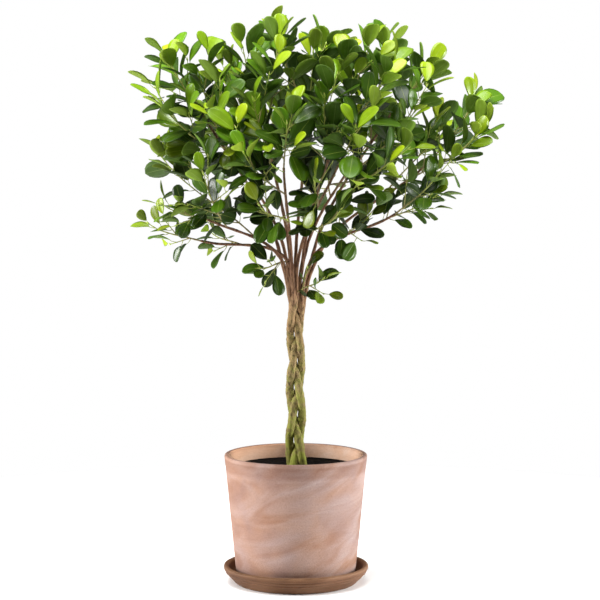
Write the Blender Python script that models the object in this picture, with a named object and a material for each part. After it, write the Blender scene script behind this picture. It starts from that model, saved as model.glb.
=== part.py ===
"""A small-leaved fig with three plaited stems, standing in a terracotta pot on its saucer.

Units are metres, +Z is up, and the origin is the middle of the saucer's flat underside.
The plant grows by rules: stems, then limbs, then leafy shoots with their side twigs and leaves.
Whatever would run into something that has already grown is turned, shortened or left out.
"""

import math
from dataclasses import dataclass

import bmesh
import bpy
import numpy as np
from mathutils.bvhtree import BVHTree

# ---------------------------------------------------------------- driving dimensions
GAP = 0.0003  # clear space between pieces that touch
ROUND_SIDES = 36  # flats round the pot, the saucer and the soil

SAUCER_BASE_R = 0.105
SAUCER_RIM_R = 0.1262
SAUCER_HEIGHT = 0.032
SAUCER_FLOOR = 0.009
SAUCER_WALL = 0.0085

POT_RIM_R = 0.125
POT_BASE_R = 0.104
POT_WALL = 0.009
POT_FLOOR = 0.012
POT_BASE_Z = SAUCER_FLOOR + GAP
POT_RIM_Z = 0.227
DRAIN_HOLE_R = 0.011

SOIL_TOP_Z = 0.203
STEM_DEPTH = 0.045  # how far the stems go down into the soil

PLAIT_TOP_Z = 0.478
CROTCH_Z = 0.500  # where the stems part into limbs
PLAIT_PERIOD = 0.286
PLAIT_PHASE_DEG = 190.0  # of the first stem, at the height below
PLAIT_PHASE_Z = 0.471
PLAIT_HALF_WIDTH = (0.0122, 0.0098)  # at the soil, at the top
PLAIT_HALF_DEPTH = (0.0104, 0.0094)
STEM_R = (0.0062, 0.0054)
STEM_RINGS = 26
CROTCH_R = 0.0082
CROTCH_RING_R = 0.0100  # from the middle of the plant to each stem's top
CROTCH_BEARING_DEG = (125.0, 245.0, 5.0)  # of each stem's top

BUNDLE_TOP_Z = 0.560  # up to here the limbs rise side by side
BUNDLE_SPREAD = 2.1  # how much wider they stand there than at the stems' tops
LIMB_R = (0.0024, 0.0016)
LIMB_RING_R = 0.0056  # from the middle of a stem's top to each limb
AXIS_R = (0.0015, 0.0008)
TWIG_R = (0.0010, 0.0006)

CROWN_CORE = np.array([0.02, 0.0, 0.60])  # leaves face away from here, and up
OPEN_LINES = (  # wood that stays in view: no leaf grows before these lines of (x, z)
    ((0.000, 0.500), (-0.012, 0.560), (-0.015, 0.740), (-0.013, 0.800)),
    ((0.005, 0.560), (0.037, 0.628), (0.068, 0.723), (0.089, 0.775)),
)
OPEN_HALF = 0.014
BARE_R = 0.045  # no leaf this near the middle
BARE_Z = 0.600  # and below this height
LEAF_SEED = 20
LEAF_SPACING = 0.0115  # along a twig
CAD_LEAF_STEP = 4  # every fourth leaf is modelled here
CAD_LEAF = ((0.45, 0.84), 0.0006)  # where its sections are, and half its thickness
UP = np.array([0.0, 0.0, 1.0])


# ---------------------------------------------------------------- how the crown is laid out
@dataclass(frozen=True)
class LimbPlan:
    """A limb: the stem it grows from, and where it ends."""

    name: str
    stem: int
    end: tuple


@dataclass(frozen=True)
class ShootPlan:
    """A leafy shoot: its limb, how far along the limb it leaves, and where its bud is."""

    limb: str
    at: float
    tip: tuple


LIMBS = (
    LimbPlan("low_left", 1, (-0.165, 0.005, 0.600)),
    LimbPlan("left", 1, (-0.150, -0.060, 0.640)),
    LimbPlan("front", 1, (-0.020, -0.105, 0.730)),
    LimbPlan("front_right", 1, (0.072, -0.105, 0.735)),
    LimbPlan("upper_left", 0, (-0.155, 0.000, 0.810)),
    LimbPlan("top_left", 0, (-0.070, -0.010, 0.850)),
    LimbPlan("top", 0, (0.010, 0.040, 0.840)),
    LimbPlan("back_left", 0, (-0.100, 0.115, 0.730)),
    LimbPlan("low_right", 2, (0.170, -0.055, 0.650)),
    LimbPlan("right", 2, (0.235, 0.010, 0.740)),
    LimbPlan("back_right", 2, (0.100, 0.118, 0.730)),
    LimbPlan("upper_right", 2, (0.165, 0.015, 0.820)),
    LimbPlan("top_right", 2, (0.090, -0.040, 0.840)),
)

SHOOTS = (
    ShootPlan("low_left", 1.0, (-0.255, 0.000, 0.630)),
    ShootPlan("low_left", 0.72, (-0.150, 0.060, 0.612)),
    ShootPlan("low_left", 0.36, (-0.062, -0.045, 0.556)),
    ShootPlan("left", 1.0, (-0.226, -0.085, 0.668)),
    ShootPlan("left", 0.85, (-0.153, -0.160, 0.722)),
    ShootPlan("left", 0.62, (-0.236, 0.020, 0.748)),
    ShootPlan("front", 1.0, (-0.014, -0.205, 0.806)),
    ShootPlan("front", 0.80, (-0.085, -0.200, 0.758)),
    ShootPlan("front", 0.60, (-0.060, -0.190, 0.672)),
    ShootPlan("front_right", 1.0, (0.098, -0.200, 0.800)),
    ShootPlan("front_right", 0.85, (0.150, -0.200, 0.738)),
    ShootPlan("front_right", 0.70, (0.030, -0.200, 0.715)),
    ShootPlan("front_right", 0.50, (0.075, -0.160, 0.662)),
    ShootPlan("front_right", 0.14, (0.046, -0.050, 0.538)),
    ShootPlan("upper_left", 1.0, (-0.222, 0.000, 0.918)),
    ShootPlan("upper_left", 0.90, (-0.165, -0.060, 0.892)),
    ShootPlan("upper_left", 0.78, (-0.236, -0.070, 0.848)),
    ShootPlan("upper_left", 0.68, (-0.140, -0.150, 0.828)),
    ShootPlan("top_left", 1.0, (-0.091, -0.010, 0.934)),
    ShootPlan("top_left", 0.85, (-0.030, -0.085, 0.915)),
    ShootPlan("top_left", 0.66, (-0.070, -0.165, 0.845)),
    ShootPlan("top_left", 0.75, (-0.125, 0.110, 0.880)),
    ShootPlan("top", 1.0, (-0.040, 0.065, 0.960)),
    ShootPlan("top", 0.85, (0.050, 0.110, 0.935)),
    ShootPlan("top", 0.70, (0.030, 0.000, 0.925)),
    ShootPlan("top_right", 1.0, (0.126, -0.060, 0.940)),
    ShootPlan("top_right", 0.86, (0.150, -0.140, 0.884)),
    ShootPlan("top_right", 0.70, (0.048, -0.165, 0.850)),
    ShootPlan("upper_right", 1.0, (0.228, 0.000, 0.900)),
    ShootPlan("upper_right", 0.86, (0.160, 0.060, 0.938)),
    ShootPlan("upper_right", 0.70, (0.200, -0.110, 0.826)),
    ShootPlan("right", 1.0, (0.306, 0.000, 0.836)),
    ShootPlan("right", 0.85, (0.305, -0.085, 0.782)),
    ShootPlan("right", 0.75, (0.250, 0.100, 0.790)),
    ShootPlan("low_right", 1.0, (0.240, -0.120, 0.722)),
    ShootPlan("low_right", 0.80, (0.250, 0.010, 0.684)),
    ShootPlan("low_right", 0.55, (0.125, -0.115, 0.652)),
    ShootPlan("back_right", 1.0, (0.160, 0.185, 0.810)),
    ShootPlan("back_right", 0.75, (0.060, 0.190, 0.745)),
    ShootPlan("back_left", 1.0, (-0.160, 0.180, 0.800)),
    ShootPlan("back_left", 0.75, (-0.040, 0.190, 0.820)),
)


# ---------------------------------------------------------------- small vector helpers
def unit(vector):
    return vector / np.linalg.norm(vector)


def bezier(p0, p1, p2, p3, count):
    """count points along the cubic curve with these four control points."""
    t = np.linspace(0.0, 1.0, count)[:, None]
    return (1 - t) ** 3 * p0 + 3 * (1 - t) ** 2 * t * p1 + 3 * (1 - t) * t**2 * p2 + t**3 * p3


def tangents(path):
    """Unit directions along a path, one for each of its points."""
    steps = np.gradient(path, axis=0)
    return steps / np.linalg.norm(steps, axis=1, keepdims=True)


def frames(path):
    """Two unit vectors square to the path at each point, carried along it without twisting."""
    along = tangents(path)
    side = np.cross(along[0], [0.31, 0.95, 0.05])
    first = [unit(side)]
    for direction in along[1:]:
        carried = first[-1] - direction * (first[-1] @ direction)
        first.append(unit(carried))
    first = np.array(first)
    return first, np.cross(along, first)


def point_on(path, share):
    """The point and the direction at this share of a path's points."""
    place = share * (len(path) - 1)
    low = min(int(place), len(path) - 2)
    rest = place - low
    return path[low] * (1 - rest) + path[low + 1] * rest, unit(path[low + 1] - path[low])


# ---------------------------------------------------------------- meshes as points and faces
def tube(path, radii, sides):
    """Points and faces of a closed tube round a path."""
    first, second = frames(path)
    turn = np.arange(sides) * 2 * math.pi / sides
    ring = np.cos(turn)[None, :, None] * first[:, None] + np.sin(turn)[None, :, None] * second[:, None]
    points = (path[:, None] + ring * radii[:, None, None]).reshape(-1, 3)
    faces = [
        (r * sides + k, r * sides + (k + 1) % sides, (r + 1) * sides + (k + 1) % sides, (r + 1) * sides + k)
        for r in range(len(path) - 1)
        for k in range(sides)
    ]
    faces.append(tuple(range(sides))[::-1])
    faces.append(tuple((len(path) - 1) * sides + k for k in range(sides)))
    return points, faces


def joined(shapes):
    """Several (points, faces) as one, still separate bodies."""
    points, faces, count = [], [], 0
    for some, more in shapes:
        points.append(some)
        faces += [tuple(i + count for i in face) for face in more]
        count += len(some)
    return np.concatenate(points), faces


def tree_of(shape):
    return BVHTree.FromPolygons(shape[0].tolist(), shape[1])


# ---------------------------------------------------------------- the plait
def stem_path(stem, low, high, count):
    """A stem's centre line: it swings x = A sin a, y = B sin 2a as it rises, like a plait's strand."""
    z = np.append(np.linspace(low, high - 0.006, count - 1), high)
    up_share = np.clip((z - SOIL_TOP_Z) / (PLAIT_TOP_Z - SOIL_TOP_Z), 0.0, 1.0)
    half_width = PLAIT_HALF_WIDTH[0] + (PLAIT_HALF_WIDTH[1] - PLAIT_HALF_WIDTH[0]) * up_share
    half_depth = PLAIT_HALF_DEPTH[0] + (PLAIT_HALF_DEPTH[1] - PLAIT_HALF_DEPTH[0]) * up_share
    turned = np.clip(z, SOIL_TOP_Z - 0.02, PLAIT_TOP_Z) - PLAIT_PHASE_Z
    angle = math.radians(PLAIT_PHASE_DEG + 120.0 * stem) + turned * 2 * math.pi / PLAIT_PERIOD
    path = np.stack([half_width * np.sin(angle), half_depth * np.sin(2 * angle), z], axis=1)
    opening = np.clip((z - PLAIT_TOP_Z) / (CROTCH_Z - 0.006 - PLAIT_TOP_Z), 0.0, 1.0)[:, None]
    bearing = math.radians(CROTCH_BEARING_DEG[stem])
    away = CROTCH_RING_R * np.array([math.cos(bearing), math.sin(bearing)])
    path[:, :2] = path[:, :2] * (1 - opening) + away * opening
    return path


def stem_radii(path):
    """A stem thins as it rises, and flares just below the crotch."""
    z = path[:, 2]
    up_share = np.clip((z - SOIL_TOP_Z) / (PLAIT_TOP_Z - SOIL_TOP_Z), 0.0, 1.0)
    radii = STEM_R[0] + (STEM_R[1] - STEM_R[0]) * up_share
    flare = np.clip((z - PLAIT_TOP_Z) / (CROTCH_Z - PLAIT_TOP_Z), 0.0, 1.0) ** 1.5
    return radii + (CROTCH_R - radii) * flare


# ---------------------------------------------------------------- wood that grows clear of other wood
class Wood:
    """Every woody tube so far, so that new growth can be tested against it."""

    def __init__(self):
        self.trees = {}

    def add(self, name, shape):
        self.trees[name] = tree_of(shape)

    def blocks(self, shape, leaving_out=()):
        tree = tree_of(shape)
        return any(tree.overlap(other) for name, other in self.trees.items() if name not in leaving_out)


def limb_slots(stem):
    """The limbs of one stem, each with the way out round the stem's top that best suits where it ends."""
    top = stem_path(stem, SOIL_TOP_Z, CROTCH_Z, 60)[-1]
    plans = [plan for plan in LIMBS if plan.stem == stem]
    bearings = np.array([math.atan2(plan.end[1] - top[1], plan.end[0] - top[0]) for plan in plans])
    order = np.argsort(bearings)
    steps = np.arange(len(plans)) * 2 * math.pi / len(plans)
    offset = np.angle(np.exp(1j * (bearings[order] - steps)).sum())
    return top, [(plans[i], offset + step) for i, step in zip(order, steps)]


def grow_limbs(wood):
    """Each limb rises from its stem's top and arches over to its end."""
    limbs = {}
    leading = {shoot.limb: np.array(shoot.tip) for shoot in SHOOTS if shoot.at == 1.0}
    for stem in range(3):
        top, slots = limb_slots(stem)
        for plan, bearing in slots:
            outward = np.array([math.cos(bearing), math.sin(bearing), 0.0])
            start = top + LIMB_RING_R * outward + UP * GAP
            end = np.array(plan.end)
            knee = np.array([*(start[:2] * BUNDLE_SPREAD), BUNDLE_TOP_Z])
            rise = (BUNDLE_TOP_Z - CROTCH_Z) / 3
            reach = np.linalg.norm(end - knee)
            turning = unit(UP + unit(end - knee) * 0.6)
            arriving = unit(unit(leading[plan.name] - end) + unit(end - knee))
            for attempt in range(80):
                turn = attempt * 2.4
                bow = 0.006 * math.sqrt(attempt) * np.array([math.cos(turn), math.sin(turn), 0.0])
                bundled = bezier(start + UP * 0.003, start + UP * rise, knee - turning * rise, knee, 3)
                first_bend = knee + turning * reach * 0.34 + bow * 0.7
                free = bezier(knee, first_bend, end - arriving * reach * 0.32 + bow, end, 7)
                path = np.concatenate([[start], bundled, free[1:]])
                shape = tube(path, np.linspace(*LIMB_R, len(path)) + GAP, 6)
                if not wood.blocks(shape):
                    break
            else:
                raise RuntimeError(f"limb {plan.name} finds no clear way")
            limbs[plan.name] = path
            wood.add(plan.name, shape)
    return limbs


def shoot_start(limb_path, at, towards):
    """Where a shoot begins: clear of its limb's bark, on the side that it grows to."""
    place, along = point_on(limb_path, at)
    wanted = unit(towards - place)
    if at == 1.0:
        leaving = unit(wanted + 0.35 * along)
        return place + leaving * (3 * GAP + AXIS_R[0] * 0.4), leaving
    outward = unit(wanted - along * (wanted @ along))
    angle = min(max(math.acos(wanted @ along) * 0.8, math.radians(42)), math.radians(75))
    leaving = along * math.cos(angle) + outward * math.sin(angle)
    limb_r = LIMB_R[0] + (LIMB_R[1] - LIMB_R[0]) * at
    return place + leaving * (limb_r + 3 * GAP + AXIS_R[0] * math.cos(angle)) / math.sin(angle), leaving


def grow_axes(limbs, wood):
    """The main twig of each leafy shoot, from its limb to its bud."""
    axes = []
    for number, plan in enumerate(SHOOTS):
        tip = np.array(plan.tip)
        start, leaving = shoot_start(limbs[plan.limb], plan.at, tip)
        reach = np.linalg.norm(tip - start)
        arriving = unit(unit(tip - start) + 0.45 * UP)
        for attempt in range(30):
            turn = attempt * 2.4
            way = np.array([math.cos(turn), math.sin(turn), 0.4 * math.sin(2 * turn)])
            bow = 0.008 * math.sqrt(attempt) * way
            leaves_by = start + leaving * reach * 0.3 + bow * 0.5
            path = bezier(start, leaves_by, tip - arriving * reach * 0.3 + bow, tip, 6)
            shape = tube(path, np.linspace(*AXIS_R, len(path)) + GAP, 4)
            if not wood.blocks(shape):
                break
        else:
            raise RuntimeError(f"shoot {number} finds no clear way")
        axes.append(path)
        wood.add(f"axis_{number}", shape)
    return axes


def grow_side_twigs(number, axis, wood):
    """Two or three short twigs that leave a shoot's axis alternately."""
    twigs = []
    reach = np.linalg.norm(axis[-1] - axis[0])
    first, second = frames(axis)
    wanted = 3 if reach > 0.11 else 2
    for k in range(wanted):
        draw = np.random.default_rng([LEAF_SEED, number, k])
        share = 0.22 + 0.25 * k + draw.uniform(-0.04, 0.04)
        place, along = point_on(axis, share)
        row = int(share * (len(axis) - 1))
        length = min(0.085, max(0.04, 0.42 * reach)) * draw.uniform(0.8, 1.15)
        for attempt in range(12):
            turn = 2.4 * k + 0.7 * attempt + draw.uniform(-0.4, 0.4)
            outward = math.cos(turn) * first[row] + math.sin(turn) * second[row]
            heading = unit(along * 0.75 + outward * 0.8 + UP * 0.15)
            end = place + heading * length * (1 - 0.03 * attempt) + UP * length * 0.08
            path = bezier(place, place + heading * length * 0.35, end - heading * length * 0.3, end, 3)
            shape = tube(path, np.linspace(*TWIG_R, len(path)) + 2 * GAP, 4)
            if not wood.blocks(shape, leaving_out=(f"axis_{number}",)):
                wood.add(f"twig_{number}_{k}", shape)
                twigs.append((k, path))
                break
    return twigs


# ---------------------------------------------------------------- leaves
@dataclass(frozen=True)
class Leaf:
    """One leaf: where its stalk leaves the twig, how its blade lies, and its size."""

    foot: np.ndarray
    heading: np.ndarray
    face: np.ndarray
    stalk: float
    length: float
    width: float
    curl: float

    def middle(self, t):
        """The midrib at shares t of the blade's length: straight at first, then bending down."""
        t = np.asarray(t, float)[:, None]
        return (
            self.foot
            + self.heading * (self.stalk + self.length * t)
            - self.face * self.curl * self.length * t**2
        )

    def half_width(self, t):
        """Half the blade's width at shares t of its length: widest past the middle, rounded at the tip."""
        t = np.asarray(t, float)
        widest = 0.85 / 1.35
        return self.width / 2 * (t**0.85 * (1 - t) ** 0.5) / (widest**0.85 * (1 - widest) ** 0.5)

    def slab(self, sections, thick):
        """A closed body over the blade: a small end at the stalk, four-sided sections, a pointed tip."""
        across = np.cross(self.heading, self.face)
        middle = self.middle(sections)
        half = np.maximum(self.half_width(sections), thick)
        foot = self.foot + self.heading * 0.3 * AXIS_R[1]
        small = 0.0006
        side, lift = across * small, self.face * small
        rows = [[foot - side, foot + lift, foot + side, foot - lift]]
        for centre, reach in zip(middle, half):
            rows.append(
                [
                    centre - across * reach,
                    centre + self.face * thick,
                    centre + across * reach,
                    centre - self.face * thick,
                ]
            )
        points = np.array(rows).reshape(-1, 3)
        faces = [
            (r * 4 + k, r * 4 + (k + 1) % 4, (r + 1) * 4 + (k + 1) % 4, (r + 1) * 4 + k)
            for r in range(len(rows) - 1)
            for k in range(4)
        ]
        last = (len(rows) - 1) * 4
        tip = len(points)
        points = np.concatenate([points, self.middle([1.0])])
        faces += [(last + k, last + (k + 1) % 4, tip) for k in range(4)]
        faces.append((3, 2, 1, 0))
        return points, faces


def leaf_at(place, along, sides, turn, spread, draw, share):
    """A leaf that leaves its twig at this turn round it, spread by this angle, facing the light."""
    outward = math.cos(turn) * sides[0] + math.sin(turn) * sides[1]
    heading = unit(along * math.cos(spread) + outward * math.sin(spread) + UP * (0.32 * share - 0.06))
    light = unit(place - CROWN_CORE) * 0.5 + UP * 0.75 + along * 0.25
    face = unit(light - heading * (light @ heading))
    roll = draw.normal(0.0, 0.5)
    face = face * math.cos(roll) + np.cross(heading, face) * math.sin(roll)
    low = 0.66 + 0.34 * min(1.0, max(0.0, (place[2] - 0.60) / 0.16))
    length = draw.uniform(0.044, 0.062) * low * (1.0 - 0.30 * max(0.0, share - 0.7) / 0.3)
    return Leaf(
        foot=place,
        heading=heading,
        face=face,
        stalk=draw.uniform(0.009, 0.013),
        length=length,
        width=length * draw.uniform(0.58, 0.70),
        curl=draw.uniform(0.02, 0.22),
    )


def in_the_way(centre):
    """Whether a leaf's middle would be before the wood that stays in view, or in the bare crotch."""
    if centre[2] < BARE_Z and math.hypot(centre[0], centre[1]) < BARE_R:
        return True
    if centre[1] > 0.0:
        return False
    spot = centre[[0, 2]]
    for line in OPEN_LINES:
        for a, b in zip(np.array(line), np.array(line[1:])):
            share = np.clip((spot - a) @ (b - a) / ((b - a) @ (b - a)), 0.0, 1.0)
            if np.linalg.norm(spot - a - share * (b - a)) < OPEN_HALF:
                return True
    return False


class Foliage:
    """Every leaf so far, so that a new one can be tested against its neighbours."""

    TEST_SECTIONS = (0.12, 0.38, 0.64, 0.86)
    TEST_THICKNESS = 0.0013

    def __init__(self, wood):
        self.wood = wood
        self.centres = np.zeros((0, 3))
        self.trees = []

    def accepts(self, leaf, own_twig):
        centre = leaf.middle([0.5])[0]
        if in_the_way(centre):
            return False
        sections, thick = CAD_LEAF
        solid = leaf.slab(sections, thick + GAP)
        shape = joined([leaf.slab(self.TEST_SECTIONS, self.TEST_THICKNESS), solid])
        if self.wood.blocks(shape, leaving_out=(own_twig,)):
            return False
        tree = tree_of(shape)
        near = np.flatnonzero(np.linalg.norm(self.centres - centre, axis=1) < 0.096)
        if any(tree.overlap(self.trees[i]) for i in near):
            return False
        self.centres = np.concatenate([self.centres, [centre]])
        self.trees.append(tree)
        return True


def grow_leaves_on(path, own_twig, key, start_share, foliage):
    """Leaves up one twig in a spiral, closer together and steeper towards its bud."""
    leaves = []
    reach = np.linalg.norm(np.diff(path, axis=0), axis=1).sum()
    first, second = frames(path)
    count = max(2, int(reach * (1 - start_share) / LEAF_SPACING) + 1)
    for k in range(count):
        share = start_share + (0.975 - start_share) * k / (count - 1)
        place, along = point_on(path, share)
        row = min(int(share * (len(path) - 1) + 0.5), len(path) - 1)
        for attempt in range(9):
            draw = np.random.default_rng([LEAF_SEED, *key, k, attempt])
            turn = 2.4 * k + 0.45 * attempt * (-1) ** attempt + draw.uniform(-0.2, 0.2)
            spread = math.radians(66 - 34 * share + draw.uniform(-10, 10))
            leaf = leaf_at(place, along, (first[row], second[row]), turn, spread, draw, share)
            if foliage.accepts(leaf, own_twig):
                leaves.append(leaf)
                break
    return leaves


def grow_leaves(number, axis, twigs, foliage):
    """The leaves of one shoot, on its axis and on its side twigs."""
    leaves = grow_leaves_on(axis, f"axis_{number}", (number, 10), 0.18, foliage)
    for k, path in twigs:
        leaves += grow_leaves_on(path, f"twig_{number}_{k}", (number, 11 + k), 0.35, foliage)
    return leaves


# ---------------------------------------------------------------- materials and objects
def material(name, colour, roughness):
    """A Principled finish: colour is sRGB from 0 to 1."""
    made = bpy.data.materials.new(name)
    made.use_nodes = True
    linear = [((c + 0.055) / 1.055) ** 2.4 if c > 0.04045 else c / 12.92 for c in colour]
    surface = made.node_tree.nodes["Principled BSDF"]
    surface.inputs["Base Color"].default_value = (*linear, 1.0)
    surface.inputs["Roughness"].default_value = roughness
    return made


def new_object(name, shape, finish):
    """An object whose mesh has these points and faces."""
    mesh = bpy.data.meshes.new(name)
    mesh.from_pydata(shape[0].tolist(), [], shape[1])
    mesh.materials.append(finish)
    made = bpy.data.objects.new(name, mesh)
    bpy.context.scene.collection.objects.link(made)
    return made


def with_boolean(target, shape, operation):
    """Joins or cuts target with a hidden helper of this shape."""
    name = f"{target.name}_{operation.lower()}_{len(target.modifiers)}"
    helper = new_object(name, shape, target.data.materials[0])
    helper.hide_render = True
    helper.display_type = "WIRE"
    modifier = target.modifiers.new(operation.title(), "BOOLEAN")
    modifier.operation = operation
    modifier.object = helper


def turned(name, profile, finish):
    """A body turned about Z from (radius, height) points round its section, or from axis to axis."""
    mesh = bpy.data.meshes.new(name)
    shape = bmesh.new()
    corners = [shape.verts.new((radius, 0.0, z)) for radius, z in profile]
    pairs = list(zip(corners, corners[1:]))
    if profile[0][0] > 0:
        pairs.append((corners[-1], corners[0]))
    edges = [shape.edges.new(pair) for pair in pairs]
    bmesh.ops.spin(
        shape,
        geom=corners + edges,
        cent=(0, 0, 0),
        axis=(0, 0, 1),
        angle=2 * math.pi,
        steps=ROUND_SIDES,
        use_merge=True,
    )
    bmesh.ops.remove_doubles(shape, verts=shape.verts, dist=1e-6)
    bmesh.ops.recalc_face_normals(shape, faces=shape.faces)
    shape.to_mesh(mesh)
    shape.free()
    mesh.materials.append(finish)
    mesh.shade_smooth()
    mesh.set_sharp_from_angle(angle=math.radians(40))
    made = bpy.data.objects.new(name, mesh)
    bpy.context.scene.collection.objects.link(made)
    return made


# ---------------------------------------------------------------- pot, saucer and soil
def pot_outer_radius(z):
    return POT_BASE_R + (POT_RIM_R - POT_BASE_R) * (z - POT_BASE_Z) / (POT_RIM_Z - POT_BASE_Z)


def make_saucer(clay):
    """A shallow dish with a rounded rim, a groove below it and a flat underside."""
    floor_r = 0.1068
    profile = [
        (0.0, 0.0),
        (SAUCER_BASE_R - 0.002, 0.0),
        (SAUCER_BASE_R, 0.002),
        (SAUCER_BASE_R + 0.0105, 0.0140),
        (SAUCER_BASE_R + 0.0150, 0.0185),
        (SAUCER_RIM_R - 0.0040, 0.0205),
        (SAUCER_RIM_R, 0.0260),
        (SAUCER_RIM_R - 0.0008, 0.0300),
        (SAUCER_RIM_R - 0.0040, SAUCER_HEIGHT),
        (SAUCER_RIM_R - SAUCER_WALL, 0.0300),
        (floor_r + 0.0080, 0.0190),
        (floor_r + 0.0040, 0.0120),
        (floor_r, SAUCER_FLOOR),
        (0.0, SAUCER_FLOOR),
    ]
    return turned("saucer", profile, clay)


def make_pot(clay):
    """A tapered pot with a soft lip and a drain hole in its floor."""
    inner_floor_z = POT_BASE_Z + POT_FLOOR
    profile = [
        (DRAIN_HOLE_R, inner_floor_z),
        (DRAIN_HOLE_R, POT_BASE_Z),
        (POT_BASE_R - 0.002, POT_BASE_Z),
        (POT_BASE_R, POT_BASE_Z + 0.002),
        (pot_outer_radius(0.118), 0.118),
        (pot_outer_radius(0.215), 0.215),
        (POT_RIM_R, POT_RIM_Z - 0.0035),
        (POT_RIM_R - 0.0025, POT_RIM_Z),
        (POT_RIM_R - POT_WALL + 0.0025, POT_RIM_Z),
        (POT_RIM_R - POT_WALL, POT_RIM_Z - 0.0030),
        (pot_outer_radius(inner_floor_z) - POT_WALL, inner_floor_z + 0.006),
        (pot_outer_radius(inner_floor_z) - POT_WALL - 0.006, inner_floor_z),
    ]
    return turned("terracotta_pot", profile, clay)


def make_soil(earth):
    """Potting soil that fills the pot to below its rim, with a pocket for each stem."""
    low = POT_BASE_Z + POT_FLOOR + GAP

    def inner_radius(z):
        """The pot's inner wall, less the gap."""
        share = (z - low - 0.006) / (POT_RIM_Z - 0.003 - low - 0.006)
        foot = pot_outer_radius(POT_BASE_Z + POT_FLOOR) - POT_WALL
        return foot + (POT_RIM_R - POT_WALL - foot) * share - 2 * GAP

    profile = [
        (0.0, SOIL_TOP_Z + 0.0010),
        (0.040, SOIL_TOP_Z + 0.0020),
        (0.085, SOIL_TOP_Z - 0.0010),
        (inner_radius(SOIL_TOP_Z - 0.002), SOIL_TOP_Z - 0.002),
        (inner_radius(low + 0.0065), low + 0.0065),
        (inner_radius(low + 0.0065) - 0.0070, low),
        (0.0, low),
    ]
    soil = turned("potting_soil", profile, earth)
    for stem in range(3):
        path = stem_path(stem, SOIL_TOP_Z - STEM_DEPTH, CROTCH_Z, STEM_RINGS)
        path = path[path[:, 2] < SOIL_TOP_Z + 0.03]
        path[0, 2] -= 2 * GAP
        with_boolean(soil, tube(path, stem_radii(path) + 2 * GAP, 8), "DIFFERENCE")
    return soil


# ---------------------------------------------------------------- plant objects
def make_stem(stem, bark):
    """One of the three plaited stems, from inside the soil to its flared top."""
    path = stem_path(stem, SOIL_TOP_Z - STEM_DEPTH, CROTCH_Z, STEM_RINGS)
    return new_object(f"plaited_stem_{stem + 1}", tube(path, stem_radii(path), 8), bark)


def make_shoot(number, axis, twigs, leaves, green):
    """A leafy shoot: its axis, its side twigs and its leaves, grown together as one body."""
    shoot = new_object(
        f"leafy_shoot_{number + 1:02d}", tube(axis, np.linspace(*AXIS_R, len(axis)), 4), green
    )
    if twigs:
        sides = [tube(path, np.linspace(*TWIG_R, len(path)), 3) for _, path in twigs]
        with_boolean(shoot, joined(sides), "UNION")
    shown = [leaf for leaf in leaves[::-1][::CAD_LEAF_STEP]]
    with_boolean(shoot, joined([leaf.slab(*CAD_LEAF) for leaf in shown]), "UNION")
    return shoot


def main():
    for old in list(bpy.data.objects):
        bpy.data.objects.remove(old)
    clay = material("terracotta with mineral bloom", (0.72, 0.57, 0.49), 0.85)
    saucer_clay = material("terracotta", (0.62, 0.43, 0.31), 0.80)
    earth = material("potting soil", (0.13, 0.10, 0.08), 0.95)
    bark = material("mossy bark", (0.52, 0.48, 0.28), 0.80)
    limb_bark = material("brown bark", (0.45, 0.33, 0.24), 0.75)
    green = material("fig leaf", (0.28, 0.42, 0.10), 0.40)

    make_saucer(saucer_clay)
    make_pot(clay)
    make_soil(earth)

    wood = Wood()
    for stem in range(3):
        make_stem(stem, bark)
    limbs = grow_limbs(wood)
    for name, path in limbs.items():
        radii = np.linspace(*LIMB_R, len(path))
        new_object(f"limb_{name}", tube(path, radii, 6), limb_bark)
    axes = grow_axes(limbs, wood)
    twigs = [grow_side_twigs(number, axis, wood) for number, axis in enumerate(axes)]
    foliage = Foliage(wood)
    for number, axis in enumerate(axes):
        leaves = grow_leaves(number, axis, twigs[number], foliage)
        make_shoot(number, axis, twigs[number], leaves, green)
    print("leaves grown:", len(foliage.trees))


main()
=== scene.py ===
"""The looks of a small-leaved fig with three plaited stems, in a terracotta pot on its saucer.

Units are metres and +Z is up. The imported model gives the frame. The plant grows here by the same rules
and from the same seeds as its solids, so every stem, limb, twig and leaf lies where its solid lies.
"""

import logging
import math
from dataclasses import dataclass, field
from enum import Enum

import bpy
import numpy as np
from mathutils.bvhtree import BVHTree
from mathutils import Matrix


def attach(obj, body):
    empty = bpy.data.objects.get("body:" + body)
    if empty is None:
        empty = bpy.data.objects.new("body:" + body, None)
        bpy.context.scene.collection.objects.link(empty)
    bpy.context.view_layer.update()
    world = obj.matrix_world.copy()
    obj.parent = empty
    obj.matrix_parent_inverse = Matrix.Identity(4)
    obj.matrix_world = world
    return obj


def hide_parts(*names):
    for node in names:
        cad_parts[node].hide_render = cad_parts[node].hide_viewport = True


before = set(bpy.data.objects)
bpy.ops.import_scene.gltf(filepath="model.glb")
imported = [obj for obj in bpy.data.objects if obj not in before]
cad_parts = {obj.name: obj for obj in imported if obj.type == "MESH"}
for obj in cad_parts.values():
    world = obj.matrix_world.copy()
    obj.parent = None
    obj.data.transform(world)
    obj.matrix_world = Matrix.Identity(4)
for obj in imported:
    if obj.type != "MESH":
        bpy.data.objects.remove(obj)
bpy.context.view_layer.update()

LOG = logging.getLogger("potted_fig")
UP = np.array([0.0, 0.0, 1.0])
GAP = 0.0003


# ---------------------------------------------------------------- vectors and paths
def unit(vector: np.ndarray) -> np.ndarray:
    """The vector at length one."""
    return vector / np.linalg.norm(vector)


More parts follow.
